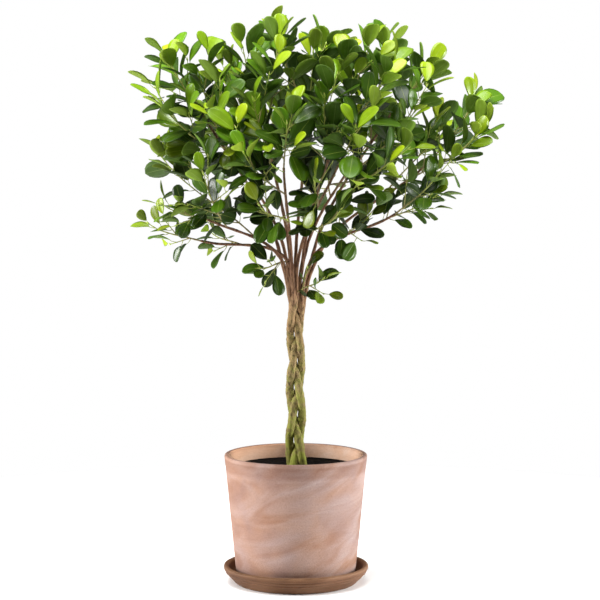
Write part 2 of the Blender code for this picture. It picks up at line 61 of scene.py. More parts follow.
def bezier(p0: np.ndarray, p1: np.ndarray, p2: np.ndarray, p3: np.ndarray, count: int) -> np.ndarray:
    """Points along a cubic curve.

    Args:
        p0: Where the curve begins.
        p1: What it first heads for.
        p2: What it last comes from.
        p3: Where it ends.
        count: How many points.

    Returns:
        The points, evenly spaced in the curve's own parameter.
    """
    t = np.linspace(0.0, 1.0, count)[:, None]
    return (1 - t) ** 3 * p0 + 3 * (1 - t) ** 2 * t * p1 + 3 * (1 - t) * t**2 * p2 + t**3 * p3


def frames(path: np.ndarray) -> tuple[np.ndarray, np.ndarray]:
    """Two unit vectors square to a path at each of its points, carried along it without twisting.

    Args:
        path: Points, one to a row.

    Returns:
        The first and the second vector at each point.
    """
    steps = np.gradient(path, axis=0)
    along = steps / np.linalg.norm(steps, axis=1, keepdims=True)
    first = [unit(np.cross(along[0], [0.31, 0.95, 0.05]))]
    for direction in along[1:]:
        first.append(unit(first[-1] - direction * (first[-1] @ direction)))
    first = np.array(first)
    return first, np.cross(along, first)


def point_on(path: np.ndarray, share: float) -> tuple[np.ndarray, np.ndarray]:
    """The point and the direction at a share of a path's points.

    Args:
        path: Points, one to a row.
        share: From 0 at the first point to 1 at the last.

    Returns:
        The point, and the unit direction of the path there.
    """
    place = share * (len(path) - 1)
    low = min(int(place), len(path) - 2)
    rest = place - low
    return path[low] * (1 - rest) + path[low + 1] * rest, unit(path[low + 1] - path[low])


def smoother(path: np.ndarray, steps: int) -> np.ndarray:
    """A rounder path through the same points: a cubic between neighbours, with their own tangents.

    Args:
        path: Points, one to a row.
        steps: How many points replace each step.

    Returns:
        The finer path.
    """
    slope = np.gradient(path, axis=0)
    t = np.arange(steps)[None, :, None] / steps
    a, b = path[:-1, None], path[1:, None]
    u, v = slope[:-1, None], slope[1:, None]
    inner = (
        (2 * t**3 - 3 * t**2 + 1) * a
        + (t**3 - 2 * t**2 + t) * u
        + (3 * t**2 - 2 * t**3) * b
        + (t**3 - t**2) * v
    )
    return np.concatenate([inner.reshape(-1, 3), path[-1:]])


# ---------------------------------------------------------------- meshes as whole arrays
@dataclass
class Skin:
    """A mesh in the making: points, faces of four or three corners, and what rides on them."""

    points: np.ndarray
    quads: np.ndarray
    tris: np.ndarray
    slots: np.ndarray  # one for each face, quads first
    uv: np.ndarray  # one for each point
    facts: dict[str, np.ndarray] = field(default_factory=dict)  # one number for each point

    @staticmethod
    def together(parts: list["Skin"]) -> "Skin":
        """Several skins as one, each still a surface of its own.

        Args:
            parts: The skins, all with the same facts.

        Returns:
            One skin.
        """
        starts = np.cumsum([0] + [len(part.points) for part in parts[:-1]])
        quad_slots = [part.slots[: len(part.quads)] for part in parts]
        tri_slots = [part.slots[len(part.quads) :] for part in parts]
        return Skin(
            points=np.concatenate([part.points for part in parts]),
            quads=np.concatenate([part.quads + start for part, start in zip(parts, starts)]),
            tris=np.concatenate([part.tris + start for part, start in zip(parts, starts)]),
            slots=np.concatenate(quad_slots + tri_slots),
            uv=np.concatenate([part.uv for part in parts]),
            facts={
                name: np.concatenate([part.facts[name] for part in parts]) for name in parts[0].facts
            },
        )


def ring_skin(rings: np.ndarray, slot: int = 0, facts: dict[str, np.ndarray] | None = None) -> Skin:
    """A closed skin round a stack of rings, with a fan to the middle of the first and of the last ring.

    The surface is the grid point(row, turn); each quad joins two neighbours on one ring to the next ring.

    Args:
        rings: Array of rows x turns x 3, each ring running anticlockwise seen from the last ring.
        slot: The material slot of all its faces.
        facts: Numbers for each row, spread over that row's ring.

    Returns:
        The skin. Its UV has the turn across and the distance along the middle line, in metres, upwards.
    """
    rows, turns = rings.shape[:2]
    index = np.arange(rows * turns).reshape(rows, turns)
    right = np.roll(index, -1, axis=1)
    quads = np.stack([index[:-1], right[:-1], right[1:], index[1:]], axis=-1).reshape(-1, 4)
    foot, head = rows * turns, rows * turns + 1
    tris = np.concatenate(
        [
            np.stack([right[0], index[0], np.full(turns, foot)], axis=-1),
            np.stack([index[-1], right[-1], np.full(turns, head)], axis=-1),
        ]
    )
    middles = rings.mean(axis=1)
    run = np.concatenate([[0.0], np.cumsum(np.linalg.norm(np.diff(middles, axis=0), axis=1))])
    uv = np.stack(np.broadcast_arrays(np.arange(turns)[None] / turns, run[:, None]), axis=-1).reshape(-1, 2)
    spread = {
        name: np.concatenate([np.repeat(value, turns), value[[0, -1]]])
        for name, value in (facts or {}).items()
    }
    return Skin(
        points=np.concatenate([rings.reshape(-1, 3), middles[[0, -1]]]),
        quads=quads,
        tris=tris,
        slots=np.full(len(quads) + len(tris), slot),
        uv=np.concatenate([uv, [[0.5, run[0]], [0.5, run[-1]]]]),
        facts=spread,
    )


def tube_rings(path: np.ndarray, radii: np.ndarray, turns: int) -> np.ndarray:
    """Rings round a path: the path's point plus cos(turn) and sin(turn) times its two side vectors.

    Args:
        path: Points, one to a row.
        radii: One for each point, or one for each point and turn.
        turns: How many points on each ring.

    Returns:
        Array of rows x turns x 3.
    """
    first, second = frames(path)
    turn = np.arange(turns) * 2 * math.pi / turns
    ring = np.cos(turn)[None, :, None] * first[:, None] + np.sin(turn)[None, :, None] * second[:, None]
    reach = radii[:, None, None] if radii.ndim == 1 else radii[:, :, None]
    return path[:, None] + ring * reach


def lathe_rings(profile: np.ndarray, turns: int) -> np.ndarray:
    """Rings about Z: each (radius, height) row becomes radius cos(turn), radius sin(turn), height.

    Args:
        profile: (radius, height) rows.
        turns: How many points round the turn.

    Returns:
        Array of rows x turns x 3.
    """
    turn = np.arange(turns) * 2 * math.pi / turns
    across = profile[:, 0, None] * np.stack([np.cos(turn), np.sin(turn)])[:, None]
    height = np.broadcast_to(profile[:, 1, None], across[0].shape)
    return np.stack([across[0], across[1], height], axis=-1)


def lathe_skin(profile: np.ndarray, turns: int) -> Skin:
    """A closed skin turned about Z from a section whose last row joins its first, running anticlockwise.

    Args:
        profile: (radius, height) rows.
        turns: How many points round the turn.

    Returns:
        The skin, a ring-shaped tube with no fans.
    """
    rings = lathe_rings(profile, turns)
    index = np.arange(len(profile) * turns).reshape(len(profile), turns)
    right, above = np.roll(index, -1, axis=1), np.roll(index, -1, axis=0)
    quads = np.stack([index, right, np.roll(right, -1, axis=0), above], axis=-1).reshape(-1, 4)
    return Skin(
        points=rings.reshape(-1, 3),
        quads=quads,
        tris=np.zeros((0, 3), int),
        slots=np.zeros(len(quads), int),
        uv=np.zeros((rings.size // 3, 2)),
    )


def rounded(corners: list[tuple[float, float, float]], steps: int = 6) -> np.ndarray:
    """A section with rounded corners: each corner (radius, height, rounding) becomes a quadratic bend.

    Args:
        corners: The section's corners in order, closing on the first.
        steps: How many points make each bend.

    Returns:
        (radius, height) rows.
    """
    place = np.array(corners)[:, :2]
    rounding = np.array(corners)[:, 2:]
    before, after = np.roll(place, 1, axis=0) - place, np.roll(place, -1, axis=0) - place
    start = place + before / np.linalg.norm(before, axis=1, keepdims=True) * rounding
    end = place + after / np.linalg.norm(after, axis=1, keepdims=True) * rounding
    t = np.linspace(0.0, 1.0, steps)[None, :, None]
    bends = (1 - t) ** 2 * start[:, None] + 2 * t * (1 - t) * place[:, None] + t**2 * end[:, None]
    return bends.reshape(-1, 2)


def ripple(points: np.ndarray, scale: float, seed: int) -> np.ndarray:
    """A smooth uneven number from about -1 to 1 at each point: a sum of twelve slanted sine waves.

    Args:
        points: Places, one to a row.
        scale: The length of the longest waves, in metres.
        seed: Which set of waves.

    Returns:
        One number for each point.
    """
    draw = np.random.default_rng([77, seed])
    ways = draw.normal(size=(12, 3))
    ways /= np.linalg.norm(ways, axis=1, keepdims=True)
    finer = np.repeat([1.0, 1.9, 3.7], 4)
    phase = draw.uniform(0, 2 * math.pi, 12)
    waves = np.sin(points @ (ways * finer[:, None]).T * 2 * math.pi / scale + phase)
    return (waves / finer).sum(axis=-1) / 3.2


# ---------------------------------------------------------------- colours and materials
def linear(code: str) -> tuple[float, float, float, float]:
    """Turns a hex sRGB colour into linear RGBA.

    Args:
        code: Six hex digits, such as "b57b4a".

    Returns:
        Red, green, blue and an alpha of one.
    """
    parts = [int(code[i : i + 2], 16) / 255 for i in (0, 2, 4)]
    return (*[p / 12.92 if p <= 0.04045 else ((p + 0.055) / 1.055) ** 2.4 for p in parts], 1.0)


def cells(size_mm: float) -> float:
    """The scale at which a pattern on places in metres has cells of this many millimetres."""
    return 1000.0 / size_mm


def add(
    tree: bpy.types.NodeTree, kind: str, links: dict | None = None, stops: tuple = (), **settings: object
) -> bpy.types.Node:
    """Adds one node with its settings and links.

    Args:
        tree: The material's node tree.
        kind: The node's type, without the ShaderNode before it.
        links: Input name or number to what feeds it: an output, a node for its first live output, or a value.
        stops: A colour ramp's (position, hex colour) rows.
        settings: The node's own settings.

    Returns:
        The node.
    """
    node = tree.nodes.new(f"ShaderNode{kind}")
    for name, value in settings.items():
        setattr(node, name, value)
    for name, value in (links or {}).items():
        if isinstance(value, bpy.types.Node):
            value = next(output for output in value.outputs if output.enabled)
        if isinstance(value, bpy.types.NodeSocket):
            tree.links.new(value, node.inputs[name])
        else:
            node.inputs[name].default_value = value
    for place, (position, code) in enumerate(stops):
        elements = node.color_ramp.elements
        stop = elements[place] if place < 2 else elements.new(position)
        stop.position, stop.color = position, linear(code)
    return node


@dataclass(frozen=True)
class Finish:
    """What every finish here has: a name, and its shader's own plain numbers."""

    name: str
    ior: float
    specular: float
    roughness: float

    def begun(self) -> tuple[bpy.types.Material, bpy.types.NodeTree, bpy.types.NodeSocket]:
        """Begins a material with this finish's plain numbers.

        Returns:
            The material, its node tree, and places in object space.
        """
        made = bpy.data.materials.new(self.name)
        made.use_nodes = True
        shader = made.node_tree.nodes["Principled BSDF"]
        shader.inputs["IOR"].default_value = self.ior
        shader.inputs["Specular IOR Level"].default_value = self.specular
        shader.inputs["Roughness"].default_value = self.roughness
        return made, made.node_tree, add(made.node_tree, "TexCoord").outputs["Object"]

    def dressed(
        self, tree: bpy.types.NodeTree, colour: bpy.types.Node, height: bpy.types.Node, deep: float
    ) -> None:
        """Gives the shader its colour pattern and its relief.

        Args:
            tree: The material's node tree.
            colour: The last node of the colour pattern.
            height: The last node of the height pattern.
            deep: How deep the relief is, in metres; below zero, the pattern sinks.
        """
        shader = tree.nodes["Principled BSDF"]
        relief = add(tree, "Bump", {"Height": height, "Distance": deep, "Strength": 1.0})
        shown = next(output for output in colour.outputs if output.enabled)
        tree.links.new(shown, shader.inputs["Base Color"])
        tree.links.new(relief.outputs["Normal"], shader.inputs["Normal"])


@dataclass(frozen=True)
class Terracotta(Finish):
    """Thrown and fired clay, unglazed: matt and porous, with lime and salts that bloom in pale strokes."""

    clay: str
    warm: str
    bloom: str
    shade: str
    bloom_amount: float
    lip_z: float  # a slightly darker band ends just below this height

    def material(self) -> bpy.types.Material:
        """Builds the clay: clouds, wiped strokes of bloom made stronger towards the right side as painted
        light, a band under the lip, grain and turning lines.

        Returns:
            The material.
        """
        made, tree, place = self.begun()
        parts = add(tree, "SeparateXYZ", {"Vector": place})
        # clouds 80 mm across, where the clay dried unevenly
        clouds = add(tree, "TexNoise", {"Vector": place, "Scale": cells(80), "Distortion": 0.6})
        body = add(tree, "ValToRGB", {"Fac": clouds}, ((0.38, self.clay), (0.62, self.warm)))
        # wiped strokes 150 mm long and 50 mm wide, climbing to the right
        slant = add(
            tree,
            "Mapping",
            {"Vector": place, "Rotation": (0.0, -0.36, 0.0), "Scale": (1.0, 1.0, 0.33)},
            vector_type="TEXTURE",
        )
        strokes = add(
            tree, "TexNoise", {"Vector": slant, "Scale": cells(150), "Detail": 4.0, "Distortion": 1.1}
        )
        pale = add(tree, "ValToRGB", {"Fac": strokes}, ((0.34, "000000"), (0.74, "ffffff")))
        dark = add(tree, "ValToRGB", {"Fac": strokes}, ((0.28, "ffffff"), (0.50, "000000")))
        # the bloom strokes grow stronger towards +X, the right side: the strokes are real, their rise to the
        # right is painted light on that side
        bloom_with_painted_side_light = add(
            tree,
            "MapRange",
            {
                "Value": parts.outputs["X"],
                "From Min": -0.11,
                "From Max": 0.11,
                "To Min": 0.50 * self.bloom_amount,
                "To Max": self.bloom_amount,
            },
        )
        pale = add(tree, "Math", {0: pale, 1: bloom_with_painted_side_light}, operation="MULTIPLY")
        body = add(tree, "Mix", {0: pale, 6: body, 7: linear(self.bloom)}, data_type="RGBA")
        dark = add(tree, "Math", {0: dark, 1: 0.30}, operation="MULTIPLY")
        body = add(tree, "Mix", {0: dark, 6: body, 7: linear(self.shade)}, data_type="RGBA")
        # the band: 22 mm tall, 6 mm below the lip
        under = add(
            tree,
            "MapRange",
            {"Value": parts.outputs["Z"], "From Min": self.lip_z - 0.030, "From Max": self.lip_z},
        )
        stops = ((0.0, "ffffff"), (0.20, "ebe3df"), (0.75, "e6ddd8"), (0.85, "ffffff"))
        band = add(tree, "ValToRGB", {"Fac": under}, stops)
        body = add(tree, "Mix", {0: 1.0, 6: body, 7: band}, data_type="RGBA", blend_type="MULTIPLY")
        # grain of 1.2 mm, drawn a little coarser than the clay's own so that it shows from a distance
        grain = add(tree, "TexNoise", {"Vector": place, "Scale": cells(1.2)})
        speck = add(tree, "ValToRGB", {"Fac": grain}, ((0.30, "e0dcda"), (0.60, "ffffff")))
        body = add(tree, "Mix", {0: 1.0, 6: body, 7: speck}, data_type="RGBA", blend_type="MULTIPLY")
        # a turning line every 6 mm: the wave's own period is 0.314 m at scale one
        lines = add(
            tree,
            "TexWave",
            {"Vector": place, "Scale": 314.0 / 6.0, "Distortion": 2.0, "Detail Scale": 3.0},
            bands_direction="Z",
        )
        relief = add(tree, "Mix", {0: 0.35, 6: grain, 7: lines}, data_type="RGBA")
        self.dressed(tree, body, relief, 0.0002)
        return made


@dataclass(frozen=True)
class Soil(Finish):
    """Damp potting compost: nearly black fibre and bark crumbs, matt, with a few pale specks."""

    dark: str
    fibre: str

    def material(self) -> bpy.types.Material:
        """Builds the soil: crumbs of 4 mm and fibres 3 mm long.

        Returns:
            The material.
        """
        made, tree, place = self.begun()
        crumbs = add(tree, "TexVoronoi", {"Vector": place, "Scale": cells(4)})
        drawn = add(tree, "Mapping", {"Vector": place, "Scale": (1.0, 3.0, 1.0)})
        fibres = add(tree, "TexNoise", {"Vector": drawn, "Scale": cells(3), "Detail": 4.0})
        tint = add(tree, "ValToRGB", {"Fac": fibres}, ((0.60, self.dark), (0.80, self.fibre)))
        relief = add(tree, "Mix", {0: 0.5, 6: crumbs, 7: fibres}, data_type="RGBA")
        self.dressed(tree, tint, relief, 0.0015)
        return made


@dataclass(frozen=True)
class Bark(Finish):
    """Living fig bark: thin and matt, in strands, with pale corky pores, greened by moss low down."""

    low: str
    middle: str
    top: str
    crack: str
    pore: str
    low_z: float
    top_z: float
    moss: str
    moss_amount: float

    def material(self) -> bpy.types.Material:
        """Builds the bark: it changes with height, in pale and dark strands, with pores and moss.

        Returns:
            The material.
        """
        made, tree, place = self.begun()
        height = add(tree, "SeparateXYZ", {"Vector": place}).outputs["Z"]
        share = add(tree, "MapRange", {"Value": height, "From Min": self.low_z, "From Max": self.top_z})
        # patches of 25 mm shift the change of colour up and down
        patches = add(tree, "TexNoise", {"Vector": place, "Scale": cells(25)})
        wander = add(tree, "MapRange", {"Value": patches, "To Min": -0.35, "To Max": 0.35})
        share = add(tree, "Math", {0: share, 1: wander}, operation="ADD", use_clamp=True)
        body = add(
            tree, "ValToRGB", {"Fac": share}, ((0.0, self.low), (0.55, self.middle), (1.0, self.top))
        )
        # strands 3 mm wide and 15 mm long, pale on their crowns
        drawn = add(tree, "Mapping", {"Vector": place, "Scale": (5.0, 5.0, 1.0)})
        strands = add(tree, "TexNoise", {"Vector": drawn, "Scale": cells(15), "Detail": 4.0})
        crowned = add(tree, "ValToRGB", {"Fac": strands}, ((0.50, "000000"), (0.70, "8c8c8c")))
        body = add(tree, "Mix", {0: crowned, 6: body, 7: linear(self.pore)}, data_type="RGBA")
        cracked = add(tree, "ValToRGB", {"Fac": strands}, ((0.34, "e6e6e6"), (0.50, "000000")))
        body = add(tree, "Mix", {0: cracked, 6: body, 7: linear(self.crack)}, data_type="RGBA")
        # a pore about every 6 mm, twice as wide as it is tall
        flat = add(tree, "Mapping", {"Vector": place, "Scale": (1.0, 1.0, 2.0)})
        pores = add(tree, "TexVoronoi", {"Vector": flat, "Scale": cells(6)})
        spots = add(tree, "ValToRGB", {"Fac": pores}, ((0.12, "808080"), (0.24, "000000")))
        body = add(tree, "Mix", {0: spots, 6: body, 7: linear(self.pore)}, data_type="RGBA")
        # moss in tufts of 12 mm, least where the bark is youngest
        tufts = add(tree, "TexNoise", {"Vector": place, "Scale": cells(12), "Detail": 5.0})
        mossy = add(tree, "ValToRGB", {"Fac": tufts}, ((0.40, "000000"), (0.58, "ffffff")))
        lower = add(tree, "MapRange", {"Value": share, "To Min": self.moss_amount, "To Max": 0.0})
        mossy = add(tree, "Math", {0: mossy, 1: lower}, operation="MULTIPLY")
        body = add(tree, "Mix", {0: mossy, 6: body, 7: linear(self.moss)}, data_type="RGBA")
        relief = add(tree, "Mix", {0: 0.4, 6: strands, 7: tufts}, data_type="RGBA")
        self.dressed(tree, body, relief, 0.0016)
        return made


@dataclass(frozen=True)
class TwigBark(Finish):
    """A young twig: brown at its base, green and faintly waxy at its tip."""

    old: str
    young: str
    tip: str

    def material(self) -> bpy.types.Material:
        """Builds the twig's skin from the youth along its length, mottled every 3 mm.

        Returns:
            The material.
        """
        made, tree, place = self.begun()
        youth = add(tree, "Attribute", attribute_name="youth").outputs["Fac"]
        body = add(tree, "ValToRGB", {"Fac": youth}, ((0.0, self.old), (0.50, self.young), (1.0, self.tip)))
        uneven = add(tree, "TexNoise", {"Vector": place, "Scale": cells(3)})
        mottle = add(tree, "MapRange", {"Value": uneven, "To Min": 0.65, "To Max": 1.2})
        body = add(tree, "Mix", {0: 1.0, 6: body, 7: mottle}, data_type="RGBA", blend_type="MULTIPLY")
        self.dressed(tree, body, uneven, 0.0003)
        return made


class LeafSide(Enum):
    """The two faces of a leaf, each with the way its veins stand."""

    UPPER = -0.0003
    UNDER = 0.0004


@dataclass(frozen=True)
class LeafBlade(Finish):
    """A leathery fig leaf: a waxy upper face with a pale midrib, a paler and duller underside."""

    side: LeafSide
    young: str
    grown: str
    old: str
    rib: str

    def material(self) -> bpy.types.Material:
        """Builds the blade: its colour from its age and from painted light and shade by its place in the
        crown, a midrib and side veins from its own UV.

        A side vein is a crest of sin(2 pi n (t - 0.55 d)), with t along the blade, d the distance from the
        midrib and n the number of veins.

        Returns:
            The material.
        """
        made, tree, place = self.begun()
        age = add(tree, "Attribute", attribute_name="age").outputs["Fac"]
        painted_light = add(tree, "Attribute", attribute_name="painted_light").outputs["Fac"]
        spot = add(tree, "UVMap", uv_map="Blade")
        parts = add(tree, "SeparateXYZ", {"Vector": spot})
        along = parts.outputs["Y"]
        across = add(tree, "Math", {0: parts.outputs["X"], 1: 0.5}, operation="SUBTRACT")
        across = add(tree, "Math", {0: across}, operation="ABSOLUTE")
        body = add(tree, "ValToRGB", {"Fac": age}, ((0.0, self.young), (0.45, self.grown), (1.0, self.old)))
        # painted light and shade: leaves deep in the crown are darkened, those at its top and edges lightened
        shade = add(tree, "MapRange", {"Value": painted_light, "To Min": 0.10, "To Max": 1.34})
        body = add(tree, "Mix", {0: 1.0, 6: body, 7: shade}, data_type="RGBA", blend_type="MULTIPLY")
        # side veins 4 mm apart on a blade 53 mm long
        slant = add(tree, "Math", {0: across, 1: 0.55}, operation="MULTIPLY")
        phase = add(tree, "Math", {0: along, 1: slant}, operation="SUBTRACT")
        wave = add(tree, "Math", {0: phase, 1: 2 * math.pi * 53 / 4}, operation="MULTIPLY")
        wave = add(tree, "Math", {0: wave}, operation="SINE")
        veins = add(tree, "ValToRGB", {"Fac": wave}, ((0.72, "000000"), (1.0, "2e2e2e")))
        body = add(tree, "Mix", {0: veins, 6: body, 7: linear(self.rib)}, data_type="RGBA")
        # the midrib: on a blade 34 mm wide, 1.6 mm at the stalk and drawn to 0.4 mm at the tip
        edge = add(tree, "MapRange", {"Value": along, "To Min": 0.8 / 34, "To Max": 0.2 / 34})
        near = add(tree, "Math", {0: across, 1: edge}, operation="DIVIDE")
        midrib = add(tree, "ValToRGB", {"Fac": near}, ((0.55, "b0b0b0"), (1.0, "000000")))
        body = add(tree, "Mix", {0: midrib, 6: body, 7: linear(self.rib)}, data_type="RGBA")
        # patches of 9 mm, a little lighter or darker
        uneven = add(tree, "TexNoise", {"Vector": place, "Scale": cells(9)})
        patchy = add(tree, "MapRange", {"Value": uneven, "To Min": 0.80, "To Max": 1.18})
        body = add(tree, "Mix", {0: 1.0, 6: body, 7: patchy}, data_type="RGBA", blend_type="MULTIPLY")
        relief = add(tree, "Mix", {0: 0.6, 6: veins, 7: midrib}, data_type="RGBA")
        self.dressed(tree, body, relief, self.side.value)
        return made


@dataclass(frozen=True)
class Bud(Finish):
    """The pale green sheath round a closed bud: smooth, waxy, reddish at its point."""

    sheath: str
    point: str

    def material(self) -> bpy.types.Material:
        """Builds the sheath from the youth along it, mottled every 2.5 mm.

        Returns:
            The material.
        """
        made, tree, place = self.begun()
        youth = add(tree, "Attribute", attribute_name="youth").outputs["Fac"]
        body = add(tree, "ValToRGB", {"Fac": youth}, ((0.6, self.sheath), (1.0, self.point)))
        uneven = add(tree, "TexNoise", {"Vector": place, "Scale": cells(2.5)})
        mottle = add(tree, "MapRange", {"Value": uneven, "To Min": 0.85, "To Max": 1.1})
        body = add(tree, "Mix", {0: 1.0, 6: body, 7: mottle}, data_type="RGBA", blend_type="MULTIPLY")
        self.dressed(tree, body, uneven, 0.0001)
        return made


# fired clay is about 1.5 and quite matt: it shows the eye soft colour and no glint
POT_CLAY = Terracotta(
    name="unglazed terracotta with salt bloom",
    ior=1.5,
    specular=0.15,
    roughness=0.88,
    clay="86675a",
    warm="946f59",
    bloom="aa9c9a",
    shade="79594b",
    bloom_amount=0.78,
    lip_z=0.227,
)
# inside, the same clay painted paler and warmer: painted light on the inner wall above the compost
POT_INSIDE_PAINTED_LIGHTER = Terracotta(
    name="terracotta inside, painted lighter",
    ior=1.5,
    specular=0.15,
    roughness=0.90,
    clay="c99f82",
    warm="d3a98b",
    bloom="d9cbc2",
    shade="b98f74",
    bloom_amount=0.60,
    lip_z=0.250,
)
# the same clay, damp from drips, so darker and browner
SAUCER_CLAY = Terracotta(
    name="damp unglazed terracotta",
    ior=1.5,
    specular=0.25,
    roughness=0.72,
    clay="604026",
    warm="6d4a2e",
    bloom="a08068",
    shade="38251a",
    bloom_amount=0.40,
    lip_z=0.034,
)
# wet fibre: black with a few tan specks
COMPOST = Soil(
    name="damp potting compost",
    ior=1.45,
    specular=0.12,
    roughness=0.9,
    dark="0d0907",
    fibre="3d2f24",
)
# bark under moss: yellow-green velvet with brown showing through
STEM_BARK = Bark(
    name="mossy fig bark",
    ior=1.45,
    specular=0.2,
    roughness=0.85,
    low="6b6632",
    middle="80704a",
    top="8f7052",
    crack="2b2217",
    pore="a89468",
    low_z=0.20,
    top_z=0.50,
    moss="7d8434",
    moss_amount=0.90,
)
# bare bark: warm red-brown in pale and dark strands
LIMB_BARK = Bark(
    name="brown fig bark",
    ior=1.45,
    specular=0.25,
    roughness=0.75,
    low="7d5f43",
    middle="704c38",
    top="7a6247",
    crack="2f1d15",
    pore="b08e6c",
    low_z=0.47,
    top_z=0.72,
    moss="7c8a2e",
    moss_amount=0.0,
)
# this year's wood: tan turning green, slightly waxy
TWIG_SKIN = TwigBark(
    name="young fig twig",
    ior=1.45,
    specular=0.35,
    roughness=0.55,
    old="7c6247",
    young="938e55",
    tip="a5b44e",
)
# cuticle wax is about 1.48: a clear but soft sheen over deep green
LEAF_UPPER = LeafBlade(
    name="waxy fig leaf, upper face",
    ior=1.48,
    specular=0.34,
    roughness=0.30,
    side=LeafSide.UPPER,
    young="a4ba16",
    grown="56800d",
    old="284807",
    rib="b4c45e",
)
# the underside has no wax: paler, with no sheen
LEAF_UNDER = LeafBlade(
    name="fig leaf, underside",
    ior=1.45,
    specular=0.25,
    roughness=0.55,
    side=LeafSide.UNDER,
    young="93ac30",
    grown="5f8026",
    old="435f22",
    rib="a0b068",
)
# a smooth sheath: pale green with a reddish point
BUD_SHEATH = Bud(
    name="fig bud sheath",
    ior=1.45,
    specular=0.4,
    roughness=0.4,
    sheath="b9cd62",
    point="c7a56a",
)


# ---------------------------------------------------------------- from skins to pieces
def show(
    name: str, skin: Skin, finishes: list[bpy.types.Material], nodes: list[str]
) -> bpy.types.Object:
    """Makes a piece from a skin, rides it on the plant's body and lets it stand for its solids.

    Args:
        name: The piece's name.
        skin: Its surface.
        finishes: Its materials, in the order of the skin's slots.
        nodes: The solids that it stands for.

    Returns:
        The piece.
    """
    mesh = bpy.data.meshes.new(name)
    quads, tris = len(skin.quads), len(skin.tris)
    mesh.vertices.add(len(skin.points))
    mesh.vertices.foreach_set("co", skin.points.astype(np.float32).ravel())
    corners = np.concatenate([skin.quads.ravel(), skin.tris.ravel()]).astype(np.int32)
    mesh.loops.add(len(corners))
    mesh.loops.foreach_set("vertex_index", corners)
    totals = np.repeat([4, 3], [quads, tris]).astype(np.int32)
    mesh.polygons.add(quads + tris)
    mesh.polygons.foreach_set("loop_start", (np.cumsum(totals) - totals).astype(np.int32))
    mesh.polygons.foreach_set("loop_total", totals)
    mesh.polygons.foreach_set("material_index", skin.slots.astype(np.int32))
    mesh.polygons.foreach_set("use_smooth", np.ones(quads + tris, bool))
    mesh.update(calc_edges=True)
    mesh.validate()
    layer = mesh.uv_layers.new(name="Blade")
    layer.uv.foreach_set("vector", skin.uv[corners].astype(np.float32).ravel())
    for fact, values in skin.facts.items():
        mesh.attributes.new(fact, "FLOAT", "POINT").data.foreach_set("value", values.astype(np.float32))
    for finish in finishes:
        mesh.materials.append(finish)
    piece = bpy.data.objects.new(name, mesh)
    bpy.context.scene.collection.objects.link(piece)
    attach(piece, "root")
    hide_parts(*nodes)
    LOG.info("%s: %d faces for %s", name, quads + tris, ", ".join(nodes))
    return piece


# ---------------------------------------------------------------- pot, saucer and soil
@dataclass
class TerracottaPot:
    """The tapered pot, hand-finished, with a soft lip and a drain hole."""

    base_z: float = 0.0093
    rim_z: float = 0.227
    base_r: float = 0.104
    rim_r: float = 0.125
    wall: float = 0.009
    floor: float = 0.012
    hole_r: float = 0.011
    turns: int = 160

    def outer_r(self, z: float | np.ndarray) -> float | np.ndarray:
        """The outer radius at a height."""
        return self.base_r + (self.rim_r - self.base_r) * (z - self.base_z) / (self.rim_z - self.base_z)

    def section(self) -> np.ndarray:
        """The wall's section: a floor with a hole, a straight taper and a lip rounded on both sides.

        Returns:
            (radius, height) rows, no more than 6 mm apart.
        """
        inside_z = self.base_z + self.floor
        foot_r = self.outer_r(inside_z) - self.wall
        bends = rounded(
            [
                (self.hole_r, self.base_z, 0.0012),
                (self.base_r, self.base_z, 0.0030),
                (self.outer_r(0.206), 0.206, 0.0060),
                (self.rim_r + 0.0004, self.rim_z, 0.0042),
                (self.rim_r - self.wall, self.rim_z, 0.0040),
                (foot_r, inside_z, 0.0070),
                (self.hole_r, inside_z, 0.0015),
            ],
            7,
        )
        step = np.linalg.norm(np.roll(bends, -1, axis=0) - bends, axis=1)
        counts = np.maximum(1, (step / 0.006).astype(int))
        start = np.repeat(np.arange(len(bends)), counts)
        first = np.repeat(np.cumsum(counts) - counts, counts)
        t = ((np.arange(len(start)) - first) / counts[start])[:, None]
        return bends[start] * (1 - t) + np.roll(bends, -1, axis=0)[start] * t

    def build(self) -> None:
        """Turns the section, leaves it very slightly out of round, and dresses it in clay."""
        skin = lathe_skin(self.section(), self.turns)
        radius = np.linalg.norm(skin.points[:, :2], axis=1)
        uneven = 0.00035 * ripple(skin.points, 0.16, 1) + 0.00012 * ripple(skin.points * [1, 1, 6], 0.05, 2)
        skin.points[:, :2] *= (1 + uneven * (radius > 0.05) / radius)[:, None]
        # faces inside the wall take the clay painted lighter, as painted light on the inner wall
        centres = skin.points[skin.quads].mean(axis=1)
        middle_r = self.outer_r(centres[:, 2]) - self.wall * 0.80
        skin.slots = (np.linalg.norm(centres[:, :2], axis=1) < middle_r).astype(int)
        finishes = [POT_CLAY.material(), POT_INSIDE_PAINTED_LIGHTER.material()]
        show("terracotta_pot_turned", skin, finishes, ["terracotta_pot"])


